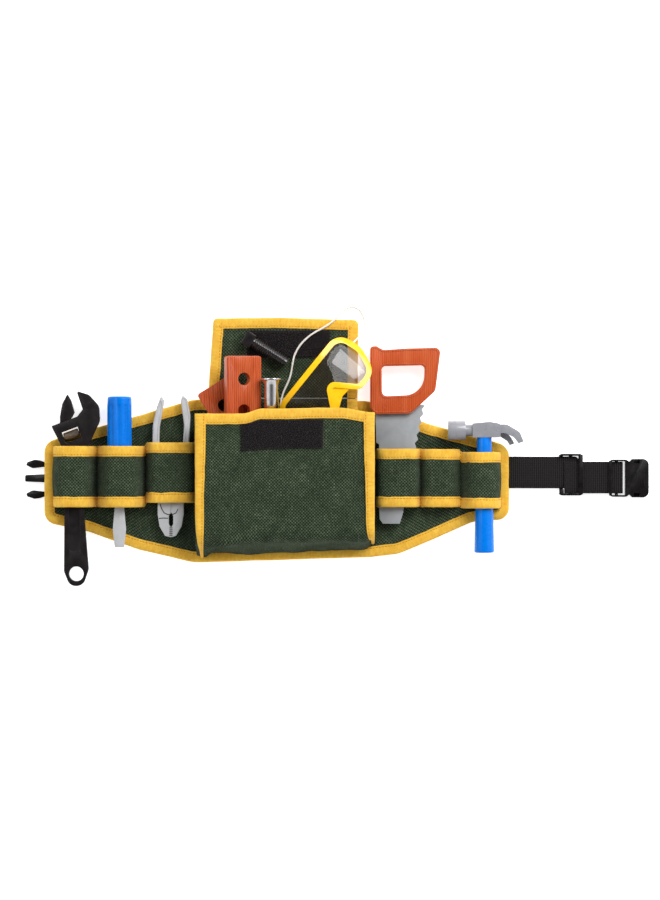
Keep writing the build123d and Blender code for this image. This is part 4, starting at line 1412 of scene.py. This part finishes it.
@dataclass
class Saw(SubAssembly):
    """The saw: a grained handle with raised rims and a wavy-toothed blade."""

    outer_rim: list[Corner] = field(default_factory=lambda: [
        ((94.6, 132.2), 2), ((99.4, 132.8), 2), ((105.8, 128.9), 6), ((130, 130.6), 60), ((161.4, 131.4), 4),
        ((156.3, 90.8), 8), ((144.9, 80.4), 14), ((132.2, 69.2), 6), ((97.4, 68.4), 4), ((94.8, 74.6), 4),
    ])
    inner_rim: list[Corner] = field(default_factory=lambda: [
        ((102.8, 116.2), 5), ((149.2, 117.2), 5), ((147.8, 84.6), 21), ((103.2, 82.8), 6),
    ])

    def build(self) -> None:
        """Builds the handle, its rims, its rivets and the blade."""
        wood, slot = self.finishes.wood["saw"], Slot.ORANGE
        self.hard("saw_handle", "saw", wood, slot, 1.4, 3)
        self.hard("saw_blade", "saw", self.finishes.grey, Slot.GREY, 0.4)
        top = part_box("saw_handle")[1].z / MM
        for name, rim in (("outer", self.outer_rim), ("inner", self.inner_rim)):
            line = [at(p.x, p.y, top - 0.15) for p in rounded(rim)]
            self.trims.beading(f"saw_rim_{name}", line + [line[0]], wood, slot, "saw", 0.7)
        for k, (x, y) in enumerate(((108, 74.5), (124, 75.5))):
            ring = [at(x + 2.2 * math.cos(a * math.pi / 10), y + 2.2 * math.sin(a * math.pi / 10), top - 0.1)
                    for a in range(21)]
            self.trims.beading(f"saw_rivet_{k + 1}", ring, wood, slot, "saw", 0.45)


@dataclass
class Toys(SubAssembly):
    """The screwdriver, hammer, planks, nail and bolt."""

    def build(self) -> None:
        """Builds each toy from its CAD nodes."""
        f = self.finishes
        self.hard("screwdriver_handle", "screwdriver", f.blue, Slot.BLUE, 0.5)
        self.hard("screwdriver_blade", "screwdriver", f.pale_silver, Slot.SILVER, 0.4)
        self.hard("hammer_head", "hammer", f.silver, Slot.SILVER, 0.8, 3)
        self.hard("hammer_handle", "hammer", f.blue, Slot.BLUE, 0.6)
        self.hard("block_front", "front_block", f.wood["front"], Slot.ORANGE, 0.8)
        self.hard("block_rear", "rear_block", f.wood["rear"], Slot.ORANGE, 0.8)
        self.hard("nail", "toy_nail", f.plated, Slot.CHROME, 0.4)
        self.hard("bolt", "toy_bolt", f.bolt, Slot.TOOL_BLACK, 0.25)


@dataclass
class Goggles(SubAssembly):
    """The goggles and their thin elastic."""

    diameter: float = 2.0
    route: list[tuple[float, float, float]] = field(default_factory=lambda: [
        (8.5, 64.5, 15.8), (5.0, 68.2, 14.4), (3.6, 74.4, 12.4), (4.4, 82.0, 9.8), (7.0, 90.2, 7.2),
        (11.2, 98.5, 5.4), (14.2, 107.5, 4.8), (15.4, 117.0, 4.8), (17.4, 126.0, 4.8),
        (22.0, 134.5, 4.9), (28.6, 142.0, 5.0), (36.6, 148.0, 5.0), (45.6, 152.6, 5.4), (54.0, 157.8, 5.4),
        (61.0, 164.4, 4.2), (67.0, 171.2, 2.0), (74.8, 174.6, 1.2), (82.4, 171.8, 1.3),
        (86.6, 164.4, 1.2), (87.8, 156.6, 1.8), (86.8, 149.8, 4.6), (83.4, 144.8, 9.0),
        (79.0, 140.8, 13.2), (74.1, 136.2, 15.8),
    ])

    def build(self) -> None:
        """Builds the frame, the lens and the elastic."""
        self.hard("goggles_frame", "goggles", self.finishes.yellow, Slot.YELLOW, 0.9, 3)
        self.hard("goggles_lens", "goggles", self.finishes.lens, Slot.LENS, 0.2)
        curve = bpy.data.curves.new("goggles_elastic_cord", "CURVE")
        curve.dimensions = "3D"
        curve.bevel_depth = self.diameter / 2 * MM
        curve.bevel_resolution = 3
        curve.resolution_u = 10
        curve.use_fill_caps = True
        spline = curve.splines.new("NURBS")
        spline.points.add(len(self.route) - 1)
        for point, place in zip(spline.points, self.route):
            point.co = (*at(*place), 1.0)
        spline.order_u = 3
        spline.use_endpoint_u = True
        elastic = add_object("goggles_elastic_cord", curve)
        curve.materials.append(self.finishes.elastic)
        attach(elastic, "goggles")
        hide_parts("goggles_elastic")


# ---- the studio ----
@dataclass
class Studio:
    """A pale floor, soft overhead light and a camera that looks straight down."""

    middle: tuple[float, float] = (53.0, 31.0)
    height: float = 4500.0
    view_height: float = 900.0
    sensor: float = 36.0

    def build(self) -> None:
        """Builds the floor, the lights and the camera."""
        scene = bpy.context.scene
        scene.view_settings.view_transform = "Standard"
        self.floor()
        world = bpy.data.worlds.new("studio")
        scene.world = world
        world.use_nodes = True
        self.sky(world)
        self.lamp("key_light", (803, 961, 1150), 900, 27.0)
        self.lamp("fill_light", (-900, 500, 1300), 700, 4.0)
        camera = bpy.data.cameras.new("camera")
        camera.sensor_fit = "VERTICAL"
        camera.sensor_height = self.sensor
        camera.lens = self.sensor * self.height / self.view_height
        eye = add_object("camera", camera)
        eye.location = at(*self.middle, self.height)
        scene.camera = eye

    def sky(self, world: bpy.types.World) -> None:
        """White walls all round, dimmer near the ground and right overhead."""
        tree = world.node_tree
        split = tree.nodes.new("ShaderNodeSeparateXYZ")
        tree.links.new(tree.nodes.new("ShaderNodeTexCoord").outputs["Generated"], split.inputs[0])
        ramp = tree.nodes.new("ShaderNodeValToRGB")
        stops = ((0.0, 0.5), (0.3, 1.0), (0.7, 0.8), (0.88, 0.14), (1.0, 0.04))
        while len(ramp.color_ramp.elements) < len(stops):
            ramp.color_ramp.elements.new(0.5)
        for element, (place, grey) in zip(ramp.color_ramp.elements, stops):
            element.position = place
            element.color = (grey, grey, grey, 1)
        tree.links.new(split.outputs[2], ramp.inputs[0])
        tree.links.new(ramp.outputs[0], tree.nodes["Background"].inputs["Color"])
        tree.nodes["Background"].inputs["Strength"].default_value = 0.95

    def floor(self) -> None:
        """A wide pale floor just under the belt."""
        wide = 4000.0
        corners = [at(x, y, -0.3) for x, y in ((-wide, -wide), (wide, -wide), (wide, wide), (-wide, wide))]
        floor = make_object("floor", corners, [(0, 1, 2, 3)])
        shader = Shader("pale floor")
        shader.finish(Base_Color=(0.93, 0.93, 0.93, 1), Roughness=0.9, Specular_IOR_Level=0.1,
                      Emission_Color=(1, 1, 1, 1), Emission_Strength=0.7)
        floor.data.materials.append(shader.material)

    def lamp(self, name: str, place: tuple[float, float, float], size: float, power: float) -> None:
        """One square soft light aimed at the belt."""
        light = bpy.data.lights.new(name, "AREA")
        light.energy = power
        light.size = size * MM
        made = add_object(name, light)
        made.location = at(*place)
        made.rotation_euler = (at(*self.middle, 0) - made.location).to_track_quat("-Z", "Y").to_euler()


def main() -> None:
    """Builds the belt's sub-assemblies in order, and then the studio."""
    logging.basicConfig(level=logging.INFO, format="%(name)s %(message)s")
    kit = Finishes(), Trimmings()
    Goggles(*kit).build()
    Panel(*kit).build()
    LoopStrip(*kit, side="left", loops=[
        Loop(-223.5, -179.7, 25.5, 4, 10, 9), Loop(-179.7, -131.1, 30.2, 10, 11, 12),
        Loop(-131.1, -81.2, 20.5, 5, 0.8, 6, 3.6, 4.4),
    ]).build()
    LoopStrip(*kit, side="right", loops=[
        Loop(98.6, 143.0, 18.5, 2, 4, 6, -2.6), Loop(143.0, 183.5, 16.0, 6, 9, 10, -3.0),
        Loop(183.5, 224.0, 25.8, 9, 4, 12, -6.0, -1.2),
    ]).build()
    Pouch(*kit).build()
    Flap(*kit).build()
    Strap(*kit).build()
    Wrench(*kit).build()
    Pliers(*kit).build()
    Saw(*kit).build()
    Toys(*kit).build()
    Studio().build()


if __name__ == "__main__":
    main()
